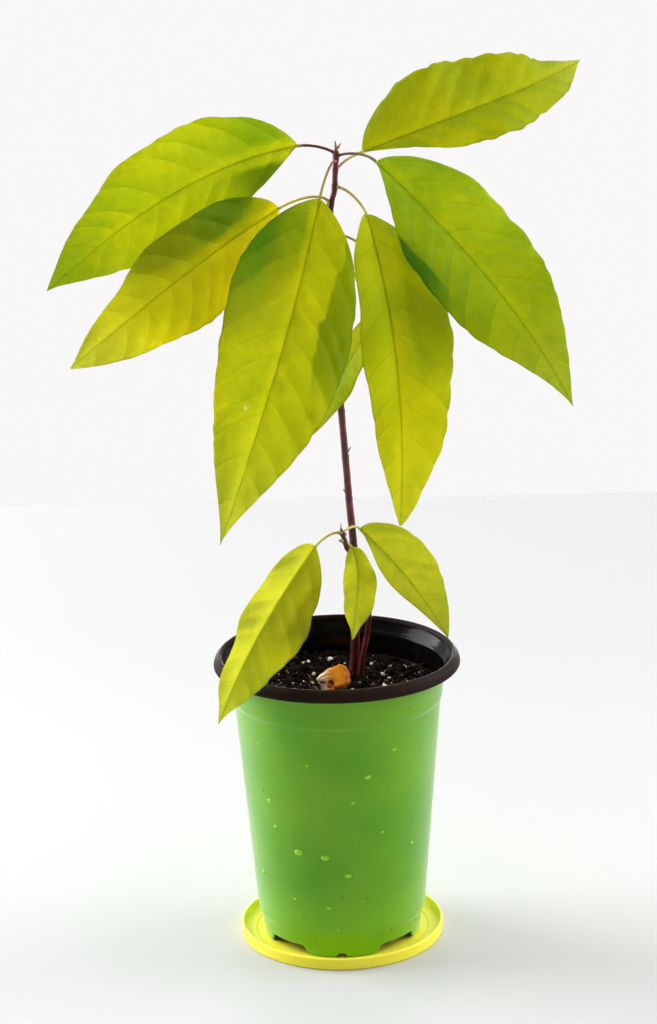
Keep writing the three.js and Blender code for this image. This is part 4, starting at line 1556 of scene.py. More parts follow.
@dataclass
class Pot:
    """The pot: one formed sheet with a recessed foot, a tapered wall, a band and a turned-out lip.

    The band's corners are radii and heights; the lip's count out and up from the band's top. The
    small notch has its place to the east of the front, its width and its height. A drop has its way
    round in degrees, its height and its radius.
    """

    sheet: float = 1.2
    foot_radius: float = 41.5
    foot_top_radius: float = 43.6
    foot_height: float = 12.2
    ledge: float = 2.3
    floor_height: float = 10.4
    wall_low_radius: float = 44.8
    wall_high_radius: float = 54.6
    shoulder: float = 132.0
    band: tuple[Pair, ...] = ((55.4, 133.4), (55.6, 137.0), (56.0, 140.6), (56.8, 144.8))
    band_radius: float = 57.4
    band_top: float = 147.6
    front_rise: float = 1.2
    lip: tuple[Pair, ...] = (
        (0.8, 1.2), (6.0, 1.6), (7.4, 2.6), (7.6, 3.6), (6.7, 6.4),
        (5.3, 8.3), (4.0, 8.6), (3.0, 7.7), (2.5, 5.8), (0.2, 2.0),
    )
    notch_top: float = 21.0
    notch_bottom: float = 31.0
    notch_height: float = 5.0
    small_notch: Triple = (-0.6, 4.8, 2.0)
    drain_radius: float = 4.0
    drain_ring: float = 27.0
    lifted_below: float = 9.0
    around: int = 240
    corner_steps: int = 5
    crisp: float = 0.8
    drop_rise: float = 0.42
    drop_rows: int = 7
    drop_around: int = 14
    drops: tuple[Triple, ...] = (
        (-74, 105, 1.5), (-136, 87, 1.5), (-133, 73, 1.2), (-117, 61, 2.1), (-100, 59.5, 1.9),
        (-86, 49, 1.5), (-82.5, 91, 0.9), (-151, 42, 1.4), (-99, 30, 1.0), (-64, 72, 0.9),
        (-108, 112, 0.8), (-122, 33, 0.9), (-58, 118, 1.1), (-93, 17, 0.8), (-40, 60, 1.2),
        (-141, 118, 0.8), (20, 88, 1.3), (48, 51, 1.0), (95, 97, 1.4), (130, 66, 1.1), (165, 101, 1.2),
    )

    def wall_radius(self, height: float) -> float:
        """Works out the outer radius of the foot or wall.

        Args:
            height: A height above the foot's edge.

        Returns:
            The radius there.
        """
        if height < self.foot_height:
            share = height / self.foot_height
            return self.foot_radius + (self.foot_top_radius - self.foot_radius) * share
        low = self.foot_height + self.ledge
        share = (height - low) / (self.shoulder - low)
        return self.wall_low_radius + (self.wall_high_radius - self.wall_low_radius) * share

    def notch(self, angle: Array) -> Array:
        """Works out the notches in the foot.

        Args:
            angle: Angles round the pot.

        Returns:
            How high the foot's edge is cut away at each.
        """
        cut = np.zeros_like(angle)
        for middle in (45, 135, 225, 315):
            off = (angle - math.radians(middle) + math.pi) % FULL_TURN - math.pi
            aside = np.abs(self.foot_radius * np.tan(np.clip(off, -1.2, 1.2)))
            slope = (self.notch_bottom - self.notch_top) / 2
            share = np.clip((self.notch_bottom / 2 - aside) / slope, 0, 1)
            cut = np.maximum(cut, np.where(np.abs(off) < 1.2, smooth(0, 1, share) * self.notch_height, 0))
        east, width, height = self.small_notch
        off = (angle + math.pi / 2 + math.pi) % FULL_TURN - math.pi
        aside = np.abs(self.foot_radius * off - east)
        return np.maximum(cut, smooth(width / 2 + 0.5, width / 2 - 0.1, aside) * height)

    def outline(self) -> tuple[Array, Array]:
        """The closed outline of the sheet, up the outside, over the lip and down the lining.

        Returns:
            Points of radius and height, and the part of the pot that each belongs to.
        """
        band, sheet, top = self.band_radius, self.sheet, self.band_top
        low = self.foot_height + self.ledge
        outside = [
            (self.foot_radius - sheet, 0), (self.foot_radius, 0),
            (self.foot_top_radius, self.foot_height), (self.wall_low_radius, low),
            (self.wall_high_radius, self.shoulder), *self.band, (band, top),
        ]
        lining = [(band + out, top + up) for out, up in self.lip] + [
            (band - sheet, top + sheet / 2), *((r - sheet, h) for r, h in reversed(self.band)),
            (self.wall_high_radius - sheet, self.shoulder), (self.wall_low_radius - sheet, low),
            (self.foot_top_radius - 0.5, self.floor_height + sheet),
            (self.foot_top_radius - sheet - 0.2, self.floor_height),
        ]
        bends, lip = len(self.band), len(self.lip)
        foot_soft = [self.crisp] * 2 + [2.6] * 2
        band_soft = [0.9] * 2 + [3.0] * (bends - 1) + [self.crisp]
        lining_soft = [1.2] + [3.0] * bends + [1.6] + [self.crisp] * 3
        soft = foot_soft + band_soft + [self.crisp] * lip + lining_soft
        kinds = ([PotPart.GREEN] * len(outside) + [PotPart.LIP] * (lip - 2)
                 + [PotPart.LINING] * (len(lining) - lip + 2))
        points = rounded(outside + lining, soft, self.corner_steps)
        return points, np.repeat(kinds, self.corner_steps + 1)

    def shell(self, draft: Draft) -> None:
        """Adds the turned sheet with the notches in its foot.

        Args:
            draft: The pot's mesh.
        """
        points, kinds = self.outline()
        dense, parts = [], []
        for i, point in enumerate(points):
            after = points[(i + 1) % len(points)]
            pieces = max(1, int(abs(after[1] - point[1]) / 3.0))
            for k in range(pieces):
                dense.append(point + (after - point) * k / pieces)
                parts.append(kinds[i])
        dense = np.array(dense)
        angle = np.arange(self.around) * FULL_TURN / self.around
        height = dense[:, 1][:, None]
        lifted = np.where(height < self.lifted_below,
                          height + self.notch(angle) * (1 - height / self.lifted_below), height)
        slope = (self.foot_top_radius - self.foot_radius) / self.foot_height
        radius = dense[:, 0][:, None] + (lifted - height) * slope
        front = np.clip(-np.sin(angle), 0, 1) ** 2
        lifted = lifted + self.front_rise * front * smooth(self.shoulder, self.band_top, height)
        rings = np.stack([radius * np.cos(angle), radius * np.sin(angle), lifted], -1)
        last = (len(dense) - 1) * self.around
        ring = np.arange(self.around)
        after = (ring + 1) % self.around
        closing = np.stack([last + ring, last + after, after, ring], -1)
        draft.add(rings, [])
        draft.faces.extend(np.vstack([strip_faces(len(dense), self.around, True), closing]).tolist())
        draft.finishes.extend(int(part) for part in np.repeat(parts, self.around))

    def floor_plate(self, draft: Draft) -> None:
        """Adds the floor inside the foot, with its drain holes.

        Args:
            draft: The pot's mesh.
        """
        plate = bmesh.new()
        rings = [(0.0, 0.0, self.foot_top_radius - self.sheet / 2 - 0.4, 96)]
        for i in range(5):
            angle = math.radians(90 + 72 * i)
            rings.append((self.drain_ring * math.cos(angle), self.drain_ring * math.sin(angle),
                          self.drain_radius, 32))
        edges = []
        for east, north, radius, count in rings:
            turns = [2 * math.pi * k / count for k in range(count)]
            loop = [plate.verts.new((east + radius * math.cos(turn), north + radius * math.sin(turn),
                                     self.floor_height)) for turn in turns]
            edges += [plate.edges.new((loop[k], loop[(k + 1) % count])) for k in range(count)]
        filled = bmesh.ops.triangle_fill(plate, edges=edges, use_beauty=True)
        faces = [g for g in filled["geom"] if isinstance(g, bmesh.types.BMFace)]
        raised = bmesh.ops.extrude_face_region(plate, geom=faces, use_keep_orig=True)
        for vert in (g for g in raised["geom"] if isinstance(g, bmesh.types.BMVert)):
            vert.co.z += self.sheet
        plate.verts.index_update()
        points = np.array([v.co[:] for v in plate.verts])
        draft.add(points, [[v.index for v in f.verts] for f in plate.faces], PotPart.LINING)
        plate.free()

    def add_drop(self, draft: Draft, swing: float, height: float, size: float) -> None:
        """Adds one drop of water that clings to the wall.

        Args:
            draft: The drops' mesh in the making.
            swing: Its way round the pot in degrees.
            height: Its height.
            size: Its radius.
        """
        angle = math.radians(swing)
        out = np.array([math.cos(angle), math.sin(angle), -0.075])
        side = np.array([-math.sin(angle), math.cos(angle), 0.0])
        down = np.cross(side, out)
        radius = self.wall_radius(height) - 0.06
        centre = np.array([radius * math.cos(angle), radius * math.sin(angle), height])
        rows, around = self.drop_rows, self.drop_around
        points = [centre + out * self.drop_rise * size]
        for row in range(1, rows):
            tilt = math.pi / 2 * row / (rows - 1)
            for k in range(around):
                turn = 2 * math.pi * k / around
                spread = size * math.sin(tilt)
                points.append(centre + out * self.drop_rise * size * math.cos(tilt)
                              + side * spread * 1.2 * math.cos(turn)
                              - down * spread * 0.8 * math.sin(turn))
        faces = [[0, 1 + k, 1 + (k + 1) % around] for k in range(around)]
        for row in range(rows - 2):
            for k in range(around):
                a, b = 1 + row * around + k, 1 + row * around + (k + 1) % around
                faces.append([a, a + around, b + around, b])
        faces.append([1 + (rows - 2) * around + k for k in range(around)])
        cloud = np.array(points)
        # Tone is painted light: high at the foot of the drop, which shows lit, and low at its top, which
        # shows shaded.
        draft.add(cloud, faces, 0, {"tone": 0.5 - (cloud[:, 2] - height) / (2.4 * size)})

    def make(self, materials: Materials) -> None:
        """Makes the pot and the drops of water on it.

        Args:
            materials: The materials.
        """
        draft = Draft()
        self.shell(draft)
        self.floor_plate(draft)
        kinds = [materials[kind] for kind in (Finish.POT_GREEN, Finish.POT_LIP, Finish.POT_LINING)]
        place(draft.make("pot_formed", kinds, POT_LEVEL, sharp=48), "pot", "pot")
        drops = Draft()
        for swing, height, size in self.drops:
            self.add_drop(drops, swing, height, size)
        place(drops.make("pot_water_drops", [materials[Finish.WATER]], POT_LEVEL), "pot")


@dataclass
class Saucer:
    """The saucer: a shallow dish with an upright wall and a low step round its floor."""

    radius: float = 54.1
    height: float = 6.5
    floor: float = 1.5
    wall: float = 1.4
    step_radius: float = 46.0
    step_height: float = 0.5
    edge: float = 0.5
    hub: float = 20.0
    around: int = 240
    corner_steps: int = 4

    def make(self, yellow: Material) -> None:
        """Makes the saucer.

        Args:
            yellow: Its plastic.
        """
        inner, floor, step, edge = self.radius - self.wall, self.floor, self.step_height, self.edge
        hub = [(self.hub, floor), (self.hub, 0)]
        outline = rounded([
            (self.radius - edge, 0), (self.radius, edge), (self.radius, self.height - edge),
            (self.radius - edge, self.height), (inner + edge, self.height), (inner, self.height - edge),
            (inner, floor + 2 * step), (inner - edge, floor + step),
            (self.step_radius + step, floor + step), (self.step_radius, floor), *hub,
        ], 0.45, self.corner_steps)
        outline = outline[:-len(hub) * (self.corner_steps + 1)]
        angle = np.arange(self.around) * FULL_TURN / self.around
        radius, height = outline[:, 0][:, None], outline[:, 1][:, None]
        rings = np.stack([radius * np.cos(angle), radius * np.sin(angle), height + 0 * angle], -1)
        draft = Draft()
        draft.add(np.vstack([rings.reshape(-1, 3), [0, 0, 0], [0, 0, floor]]),
                  capped_faces(len(rings), self.around))
        place(draft.make("saucer_formed", [yellow], 0.0, sharp=50), "saucer", "saucer")


# ---- soil and seed


@dataclass
class Soil:
    """Potting mix that fills the pot, with crumbs, white grains, chips and fibres on top.

    The bits keep out of circles round the stems and the seed, each an east, a north and a radius.
    """

    floor: float = 11.9
    wall: tuple[Pair, ...] = ((42.7, 11.9), (43.2, 13.4), (52.9, 131.6), (53.9, 137.3))
    top_radius: float = 53.9
    strewn_radius: float = 52.4
    level: float = 137.9
    around: int = 200
    rows: int = 70
    crumbs: int = 1500
    grains: int = 260
    chips: int = 70
    fibres: int = 90
    seed: int = 2411
    keep_out: tuple[Triple, ...] = ((9.2, 16.2, 3.6), (12.5, 12.0, 2.8), (-3.4, -2.2, 8.5))

    def heights(self, spots: Array) -> Array:
        """Works out how lumpy the soil is.

        Args:
            spots: Points of east and north.

        Returns:
            The soil's height above its level at each.
        """
        places = np.concatenate([spots, np.zeros(spots.shape[:-1] + (1,))], -1)
        lumps = (1.3 * ripple(places, 9.0, 11) + 0.75 * ripple(places, 4.2, 12)
                 + 0.35 * ripple(places, 1.9, 13))
        away = np.hypot(spots[..., 0] - 10.0, spots[..., 1] - 14.5)
        edge = np.hypot(spots[..., 0], spots[..., 1])
        return lumps * (0.35 + 0.65 * smooth(3, 9, away)) - 0.4 - 0.9 * smooth(48, 54, edge)

    def body(self, finish: Material) -> None:
        """Makes the body of soil.

        Args:
            finish: The soil.
        """
        radii = np.linspace(self.top_radius, 1.0, self.rows)
        angle = np.arange(self.around) * FULL_TURN / self.around
        spots = np.stack([radii[:, None] * np.cos(angle), radii[:, None] * np.sin(angle)], -1)
        top = np.concatenate([spots, (self.level + self.heights(spots))[..., None]], -1)
        sides = np.array([[[r * math.cos(a), r * math.sin(a), h] for a in angle] for r, h in self.wall])
        rings = np.concatenate([sides, top])
        peak = self.level + self.heights(np.zeros((1, 2)))[0]
        points = np.vstack([rings.reshape(-1, 3), [0.0, 0.0, self.floor], [0.0, 0.0, peak]])
        draft = Draft()
        draft.add(points, capped_faces(len(rings), self.around))
        place(draft.make("soil_body", [finish], POT_LEVEL), "soil", "soil")

    def spread(self, count: int, rng: np.random.Generator) -> Array:
        """Places on the soil clear of the stems and the seed.

        Args:
            count: How many.
            rng: The source of chance.

        Returns:
            Points of east and north.
        """
        made: list[Array] = []
        while len(made) < count:
            radius = self.strewn_radius * math.sqrt(rng.random())
            angle = FULL_TURN * rng.random()
            spot = np.array([radius * math.cos(angle), radius * math.sin(angle)])
            if all(math.hypot(spot[0] - e, spot[1] - n) > reach for e, n, reach in self.keep_out):
                made.append(spot)
        return np.array(made)

    def lump(self, draft: Draft, spot: Array, size: float, tone: float,
             rng: np.random.Generator) -> None:
        """Adds one rough lump, half sunk in the soil.

        Args:
            draft: The mesh.
            spot: Its east and north.
            size: Its radius.
            tone: Its share of the pale colour.
            rng: The source of chance.
        """
        rows, around = 4, 6
        stretch = np.array([1.0, 0.75 + 0.4 * rng.random(), 0.6 + 0.35 * rng.random()])
        turn = FULL_TURN * rng.random()
        base = self.level + float(self.heights(spot[None])[0])
        points = [[0, 0, -1.0]]
        for row in range(1, rows):
            tilt = math.pi * row / rows
            for k in range(around):
                angle = FULL_TURN * (k + 0.5 * (row % 2)) / around
                level = math.sin(tilt)
                points.append([level * math.cos(angle), level * math.sin(angle), -math.cos(tilt)])
        points.append([0, 0, 1.0])
        cloud = np.array(points) * (0.72 + 0.5 * rng.random((len(points), 1))) * stretch * size
        cos, sin = math.cos(turn), math.sin(turn)
        spin = np.array([[cos, -sin, 0], [sin, cos, 0], [0, 0, 1]])
        cloud = cloud @ spin.T + [spot[0], spot[1], base + 0.3 * size * stretch[2]]
        faces = [[0, 1 + (k + 1) % around, 1 + k] for k in range(around)]
        for row in range(rows - 2):
            for k in range(around):
                a, b = 1 + row * around + k, 1 + row * around + (k + 1) % around
                faces.append([a, b, b + around, a + around])
        last = 1 + (rows - 2) * around
        faces += [[last + k, last + (k + 1) % around, len(points) - 1] for k in range(around)]
        draft.add(cloud, faces, 0, {"tone": np.full(len(cloud), tone)})

    def make(self, materials: Materials) -> None:
        """Makes the soil and what lies on it.

        Args:
            materials: The materials.
        """
        self.body(materials[Finish.SOIL])
        rng = np.random.default_rng(self.seed)
        crumbs, grains, chips, fibres = Draft(), Draft(), Draft(), Draft()
        for spot in self.spread(self.crumbs, rng):
            size = 0.5 + 1.6 * rng.random() ** 3 + 1.4 * rng.random() ** 16
            self.lump(crumbs, spot, size, rng.random(), rng)
        for spot in self.spread(self.grains, rng):
            self.lump(grains, spot, 0.28 + 1.45 * rng.random() ** 4.4, rng.random(), rng)
        for spot in self.spread(self.chips, rng):
            self.lump(chips, spot, 0.6 + 1.1 * rng.random() ** 2, rng.random(), rng)
        for spot in self.spread(self.fibres, rng):
            self.fibre(fibres, spot, rng)
        for name, draft, kind in (("soil_crumbs", crumbs, Finish.CRUMB),
                                  ("soil_white_grains", grains, Finish.GRAIN),
                                  ("soil_bark_chips", chips, Finish.CHIP)):
            place(draft.make(name, [materials[kind]], POT_LEVEL, sharp=35), "soil")
        place(fibres.make("soil_fibres", [materials[Finish.FIBRE]], POT_LEVEL), "soil")

    def fibre(self, draft: Draft, spot: Array, rng: np.random.Generator) -> None:
        """Adds one thin bent fibre of bark or root.

        Args:
            draft: The mesh.
            spot: Its east and north.
            rng: The source of chance.
        """
        length = 3 + 7 * rng.random()
        heading = FULL_TURN * rng.random()
        bend = 1.6 * (rng.random() - 0.5)
        share = np.linspace(-0.5, 0.5, 7)
        course = heading + bend * share
        steps = np.stack([np.cos(course), np.sin(course)], -1) * length / 7
        spots = spot + np.cumsum(steps, axis=0) - steps.sum(0) / 2
        far = np.hypot(spots[:, 0], spots[:, 1]).max()
        spots = spots * min(1.0, 53.0 / far)
        level = self.level + self.heights(spots) + 0.55 - 1.6 * share ** 2
        radii = (0.12 + 0.22 * rng.random()) * np.sqrt(1.02 - (2 * share) ** 2)
        tone = rng.random()
        centres = np.concatenate([spots, level[:, None]], -1)
        draft.add_tube(centres, radii, 6, 0, None, {"tone": np.full(7, tone)})


@dataclass
class Seed:
    """The broken seed: a wedge of flesh that leans right, over torn scraps of skin at its left foot.

    A hollow has its east, north and height, its half width and its half height.
    """

    body: tuple[Point, ...] = (
        (-11.4, -5.0, 4.7), (-10.2, -6.4, 3.6), (-6.8, -4.6, 8.0), (-3.7, -3.0, 10.1), (1.4, -1.4, 11.8),
        (5.1, -1.2, 10.3), (6.6, -2.8, 6.8), (7.0, -4.8, 2.8), (3.3, -7.4, 2.4), (-0.5, -8.3, 1.7),
        (-4.6, -7.6, 3.6), (4.8, 3.4, 3.2), (-3.0, 3.6, 3.4), (-8.6, 0.8, 3.0), (-6.6, -0.6, 7.0),
        (4.0, -5.6, -2.5), (4.0, 2.4, -2.5), (-7.6, 0.4, -2.5), (-7.0, -4.6, -2.5),
    )
    scrap: tuple[Point, ...] = (
        (-9.0, -8.4, 1.6), (-8.0, -9.4, 0.4), (-4.2, -10.2, 0.3), (-1.0, -9.6, 0.9), (-5.6, -8.0, 3.2),
        (-4.4, -8.4, 2.6), (-8.2, -7.0, -1.5), (-1.8, -7.2, -1.5), (-5.0, -9.6, -1.5),
    )
    hollows: tuple[tuple[float, float, float, float, float], ...] = (
        (-8.5, -6.6, 3.0, 2.7, 1.1), (-3.3, -7.9, 3.3, 2.0, 2.1),
    )

    def chip(self, draft: Draft, corners: tuple[Point, ...], bevel: float, seed: int) -> None:
        """Adds one blunt-edged lump that spans the corners.

        Args:
            draft: The seed's mesh.
            corners: Its corners.
            bevel: How blunt its edges are.
            seed: Picks its roughness.
        """
        shape = bmesh.new()
        for corner in corners:
            shape.verts.new(corner)
        hull = bmesh.ops.convex_hull(shape, input=shape.verts)
        inside = [g for g in hull["geom_interior"] if isinstance(g, bmesh.types.BMVert)]
        bmesh.ops.delete(shape, geom=inside, context="VERTS")
        bmesh.ops.bevel(shape, geom=list(shape.edges), offset=bevel, segments=2, profile=0.6,
                        affect="EDGES")
        for limit in (1.6, 0.8):
            bmesh.ops.triangulate(shape, faces=shape.faces)
            long_edges = [e for e in shape.edges if e.calc_length() > limit]
            bmesh.ops.subdivide_edges(shape, edges=long_edges, cuts=2, use_grid_fill=True)
        bmesh.ops.triangulate(shape, faces=shape.faces)
        shape.normal_update()
        points = np.array([v.co[:] for v in shape.verts])
        normals = np.array([v.normal[:] for v in shape.verts])
        push = 0.34 * ripple(points, 2.9, seed) + 0.2 * ripple(points, 1.1, seed + 1)
        hollow = np.zeros(len(points))
        for east, north, level, wide, tall in self.hollows:
            off = (points - [east, north, level]) / [wide, 2.2, tall]
            hollow = np.maximum(hollow, np.exp(-(off ** 2).sum(axis=1)))
        crease = np.abs(ripple(points, 4.4, seed + 2))
        push = push - 0.5 * np.exp(-(crease / 0.07) ** 2) * (points[:, 0] < -1) - 1.8 * hollow
        points = points + normals * push[:, None]
        shape.verts.index_update()
        draft.add(points, [[v.index for v in f.verts] for f in shape.faces], 0, {"tone": hollow})
        shape.free()

    def make(self, finish: Material) -> None:
        """Makes the seed.

        Args:
            finish: Its flesh and skin.
        """
        draft = Draft()
        self.chip(draft, self.body, 0.5, 31)
        self.chip(draft, self.scrap, 0.3, 41)
        place(draft.make("seed_broken", [finish], PLANT_LEVEL, sharp=42), "seed", "seed")


# ---- studio


@dataclass(frozen=True)
class Lamp:
    """A soft square light: where it hangs, what it points at, its side in metres and its watts."""

    name: str
    spot: Point
    aim: Point
    size: float
    power: float
    colour: Colour = (1.0, 1.0, 1.0)

    def make(self) -> None:
        """Makes the light."""
        data = bpy.data.lights.new(self.name, "AREA")
        data.size, data.energy, data.color = self.size, self.power, self.colour
        light = bpy.data.objects.new(self.name, data)
        light.location = self.spot
        ahead = Vector(self.aim) - Vector(self.spot)
        light.rotation_euler = ahead.to_track_quat("-Z", "Y").to_euler()
        bpy.context.scene.collection.objects.link(light)


@dataclass
class Studio:
    """Plain pale floor, soft lights and the camera, in metres and degrees."""

    eye: Point = (0.0, -1.5, 0.6843)
    pitch: float = 16.68
    yaw: float = -0.10
    roll: float = -1.28
    lens: float = 106.07
    frame_height: float = 36.0
    floor_back: float = 0.82
    floor_reach: float = 3.2
    bright: Colour = (0.945, 0.93, 0.93)
    sky: Colour = (1.5, 1.5, 1.48)
    window: Colour = (27.0, 26.7, 26.0)
    dim: Colour = (0.26, 0.26, 0.265)
    lamps: tuple[Lamp, ...] = (
        Lamp("left_window", (-1.5, 0.55, 0.85), (0, 0, 0.25), 1.2, 42.0, (0.95, 0.98, 1.0)),
        Lamp("right_window", (1.4, 0.35, 0.8), (0, 0, 0.2), 1.0, 14.0),
    )

    def make_camera(self) -> None:
        """Makes the camera and looks through it."""
        pitch, yaw, roll = (math.radians(a) for a in (self.pitch, self.yaw, self.roll))
        cos = math.cos(pitch)
        ahead = Vector((math.sin(yaw) * cos, math.cos(yaw) * cos, -math.sin(pitch)))
        level = Vector((math.cos(yaw), -math.sin(yaw), 0.0))
        above = level.cross(ahead)
        right = level * math.cos(roll) + above * math.sin(roll)
        up = -level * math.sin(roll) + above * math.cos(roll)
        data = bpy.data.cameras.new("camera")
        data.lens = self.lens
        data.sensor_fit = "VERTICAL"
        data.sensor_height = self.frame_height
        data.sensor_width = self.frame_height
        data.clip_start = 0.05
        camera = bpy.data.objects.new("camera", data)
        turn = Matrix((right, up, -ahead)).transposed().to_4x4()
        camera.matrix_world = Matrix.Translation(self.eye) @ turn
        bpy.context.scene.collection.objects.link(camera)
        bpy.context.scene.camera = camera

    def shade_world(self, tree: bpy.types.NodeTree) -> None:
        """Makes the room bright towards the back, where its windows are, and dimmer in front.

        Args:
            tree: The world's nodes.
        """
        w = NodeWriter(tree)
        east, north, height = w.parts(w.node("TexCoord").outputs["Generated"])
        back = w.ranged(w.plus(north, w.times(east, 0.4)), -0.75, 0.2)
        colour = w.mix(back, self.dim, self.bright)
        overhead = w.most(back, w.ranged(height, 0.55, 0.95, 0.0, 0.8))
        colour = w.mix(w.times(w.ranged(height, 0.12, 0.5), overhead), colour, self.sky)
        pane = w.times(w.ranged(height, -0.115, -0.085), w.ranged(height, 0.03, 0.09, 1.0, 0.0))
        pane = w.times(pane, w.ranged(north, 0.93, 0.98))
        w.feed(tree.nodes["Background"].inputs["Color"], w.mix(pane, colour, self.window))

    def make(self, floor_finish: Material) -> None:
        """Makes the floor, the light and the camera.

        Args:
            floor_finish: The floor.
        """
        reach, back = self.floor_reach, self.floor_back
        mesh = bpy.data.meshes.new("floor")
        mesh.from_pydata([(-reach, -reach, 0), (reach, -reach, 0), (reach, back, 0), (-reach, back, 0)],
                         [], [(0, 1, 2, 3)])
        mesh.materials.append(floor_finish)
        floor = bpy.data.objects.new("floor", mesh)
        bpy.context.scene.collection.objects.link(floor)
        world = bpy.data.worlds.new("studio")
        world.use_nodes = True
        self.shade_world(world.node_tree)
        bpy.context.scene.world = world
        for lamp in self.lamps:
            lamp.make()
        bpy.context.scene.view_settings.view_transform = "Standard"
        self.make_camera()


# ---- the plant


MAIN_STEM = Stem(
    "main_stem_bark", "main_stem",
    [
        (0, 9, 16.5, 6), (4, 9.3, 15.5, 5.1), (20, 10, 12, 4.9), (49, 10, 8, 4.4), (75, 10, 5, 4),
        (100, 8.2, 3, 3.8), (126, 6.6, 1.5, 3.6), (152, 5, 0.5, 3.4), (191, 3.8, 0, 3.2),
        (223, 2.9, 0, 3), (256, 2.1, 0, 2.9), (264, 4, 0, 2.8), (271, 4.4, 0, 2.7),
        (282.5, 5.2, 0, 2.5), (285, 5.1, 0, 1.5), (288.6, 4.8, 0, 0.7),
    ],
    [
        Bud(125, 0, 50, 5, 1), Bud(102, 180, 52, 5, 1), Bud(253, 150, 58, 5, 1.8),
        Bud(284, 350, 48, 4.2, 1),
    ],
    scars=[17, 33, 52, 74, 101, 124, 149, 176], woody_from=10, young_from=284, seed=71,
)
SIDE_SHOOT = Stem(
    "side_shoot_bark", "shoot_stem",
    [
        (0, 12.4, 12, 4), (4, 12.8, 11.2, 3.5), (12.5, 13.9, 9, 3.4), (25, 16.2, 6, 3.2),
        (37, 17.4, 3, 3.1), (52, 16.6, -1, 3), (67, 12.1, -5, 2.9), (77.5, 6.6, -7, 3.2),
        (84.3, 4.6, -7, 2.9), (87.5, 3.7, -7, 1.8), (91, 3.7, -7, 0.7),
    ],
    [
        Bud(81, 215, 5, 4, 2, StemPart.GREEN), Bud(84.5, 190, 20, 3.4, 1.5), Bud(77, 350, 30, 2.6, 1.2),
        Bud(83, 20, 40, 2.4, 1.1), Bud(79, 150, 10, 2.2, 1.2), Bud(86.5, 100, 55, 2.2, 0.8),
    ],
    scars=[22, 43, 62], woody_from=8, young_from=88, seed=83,
    knobs=[
        (75, 200, 0.35), (77.5, 20, 0.4), (80, 250, 0.45), (82, 100, 0.4), (84.5, 300, 0.5),
        (85, 150, 0.4),
    ],
    trim=[(0, 0.88), (60, 0.88), (74, 0.78), (83, 0.8), (85, 0.85), (86.5, 0.5), (88, 0.36), (91, 0.5)],
)

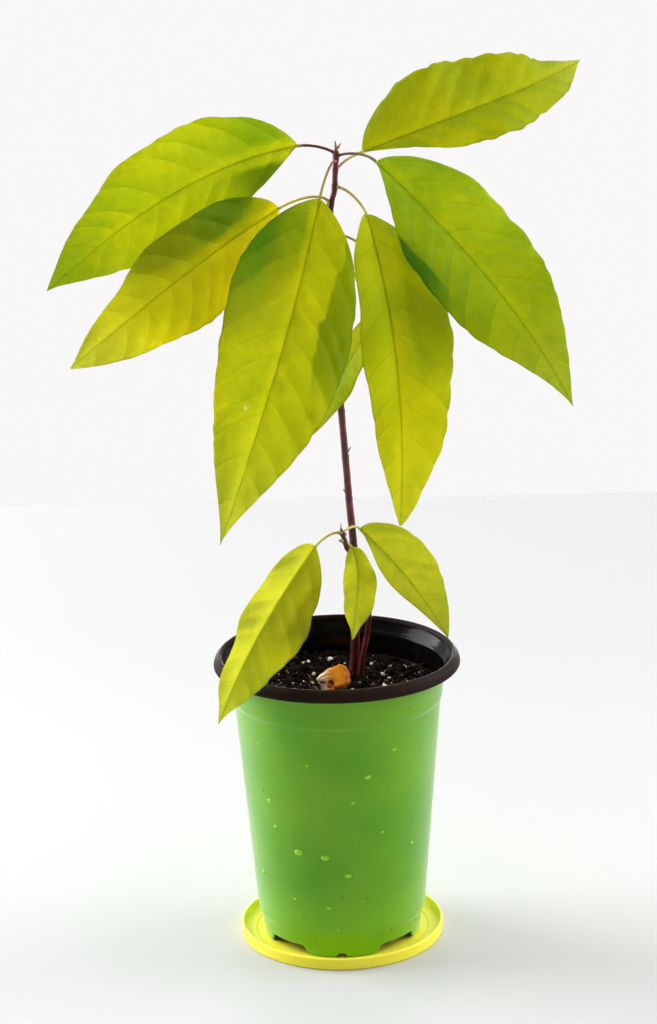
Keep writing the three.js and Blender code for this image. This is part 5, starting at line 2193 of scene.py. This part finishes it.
LEAVES = [
    Leaf("leaf_upper_right", 273.5, 57, 30, (18.5, 16, 280), 3.5, 56, 20, -11, 59, 11, 147,
         (31, 0.33, 2.2), (20, 0.53, 2.4), 3.8, 2.9, 150,
         Finish.LEAF_AMBER, Finish.STALK_BROWN, ragged=2.2),
    Leaf("leaf_upper_left", 282, 175, 33, (-14, 0, 286.5), 204.5, -6, -4, -34, -88, -24, 149.5,
         (31, 0.47, 2.35), (32.5, 0.45, 1.75), 1.4, 3.8, 30, Finish.LEAF_SHADE, Finish.STALK_RED),
    Leaf("leaf_right", 280.5, 325, 21, (25, -13, 280), 352.5, -52, -43.5, -1, 37, -4, 161,
         (33.5, 0.35, 1.85), (31.5, 0.43, 2.55), 2.4, 2.3, 290,
         Finish.LEAF_GREEN, Finish.STALK_RED_SHORT),
    Leaf("leaf_left", 256, 200, 69, (-24, -10, 257), 219, -5, -20, -10, -81, 10, 141,
         (26.5, 0.43, 1.6), (24, 0.38, 1.8), 4.7, 2.7, -30, Finish.LEAF_GOLD, Finish.STALK_OCHRE),
    Leaf("leaf_front", 278, 248, 13, (-3.5, -15, 262.5), 234.5, 7, -68, 18, -51, -7, 184,
         (36.5, 0.37, 2.25), (39, 0.35, 2.05), 6.5, 1.1, 170, Finish.LEAF_PAINTED_SHADING, Finish.STALK_BROWN),
    Leaf("leaf_front_right", 265.5, 337, 2, (19.5, -8, 253), 283.5, 11, -30.5, -68, -20, 34, 168.5,
         (32, 0.37, 1.35), (18.5, 0.43, 1.75), 2.3, 3.4, 280, Finish.LEAF_BRIGHT, Finish.STALK_BEIGE),
    Leaf("leaf_inner", 238.8, 357, 18, (27.5, -10, 211), 188.5, 17, -64, 9, -21, -10, 82,
         (11.5, 0.48, 1.5), (10, 0.49, 1.95), 1, 2.7, -10),
    Leaf("leaf_back_left", 228, 128, 30, (-13, 18.5, 232.5), 130, 15, 5, -55, 10, -5, 140,
         (24, 0.42, 1.9), (24, 0.4, 1.8), 2.2, 2.6, 50),
    Leaf("leaf_back_right", 212, 50, 28, (22.5, 19, 215.5), 48, -6, 2, -45, 0, 4, 140,
         (24, 0.4, 1.8), (24, 0.43, 1.9), 2.2, 2.8, 200),
    Leaf("leaf_back_middle", 200, 97, 28, (0.5, 26.5, 207), 98, -4, 8, -46, 5, -4, 130,
         (22, 0.41, 1.8), (22, 0.43, 1.9), 2, 2.7, 120, Finish.LEAF_GOLD),
    Leaf("leaf_shoot_left", 85.5, 205, 21, (-9.5, -13, 80.5), 222.5, 27, -39, 3, -54, -1, 114,
         (22.5, 0.41, 2.1), (13.5, 0.37, 1.2), 3.4, 3, -20,
         Finish.LEAF_YOUNG_PAINTED_SHADING, stem=StemName.SHOOT),
    Leaf("leaf_shoot_small", 80, 320, 10, (9, -9, 78.5), 295.5, -70, -38, -38, -6, 5, 50.5,
         (10, 0.44, 1.45), (8, 0.41, 1.65), 2.5, 2.3, 80, Finish.LEAF_YOUNG_SMALL, stem=StemName.SHOOT),
    Leaf("leaf_shoot_right", 86, 47, 5, (13.5, 2, 85), 350, -32, -42, -9, 24, 3, 74,
         (22, 0.37, 1.65), (10.5, 0.42, 2.35), 1.4, 1.2, 310, Finish.LEAF_YOUNG, stem=StemName.SHOOT),
]


def main() -> None:
    """Builds the studio, the pot and the plant in order."""
    logging.basicConfig(level=logging.INFO, format="%(message)s")
    materials = {finish: finish.value.make(finish.name.lower()) for finish in Finish}
    Studio().make(materials[Finish.FLOOR])
    Saucer().make(materials[Finish.SAUCER_YELLOW])
    Pot().make(materials)
    Soil().make(materials)
    Seed().make(materials[Finish.SEED])
    stems = {StemName.MAIN: MAIN_STEM, StemName.SHOOT: SIDE_SHOOT}
    for name, stem in stems.items():
        stem.make([leaf.height for leaf in LEAVES if leaf.stem is name], materials)
    for leaf in LEAVES:
        leaf.make(stems[leaf.stem], materials)


if __name__ == "__main__":
    main()
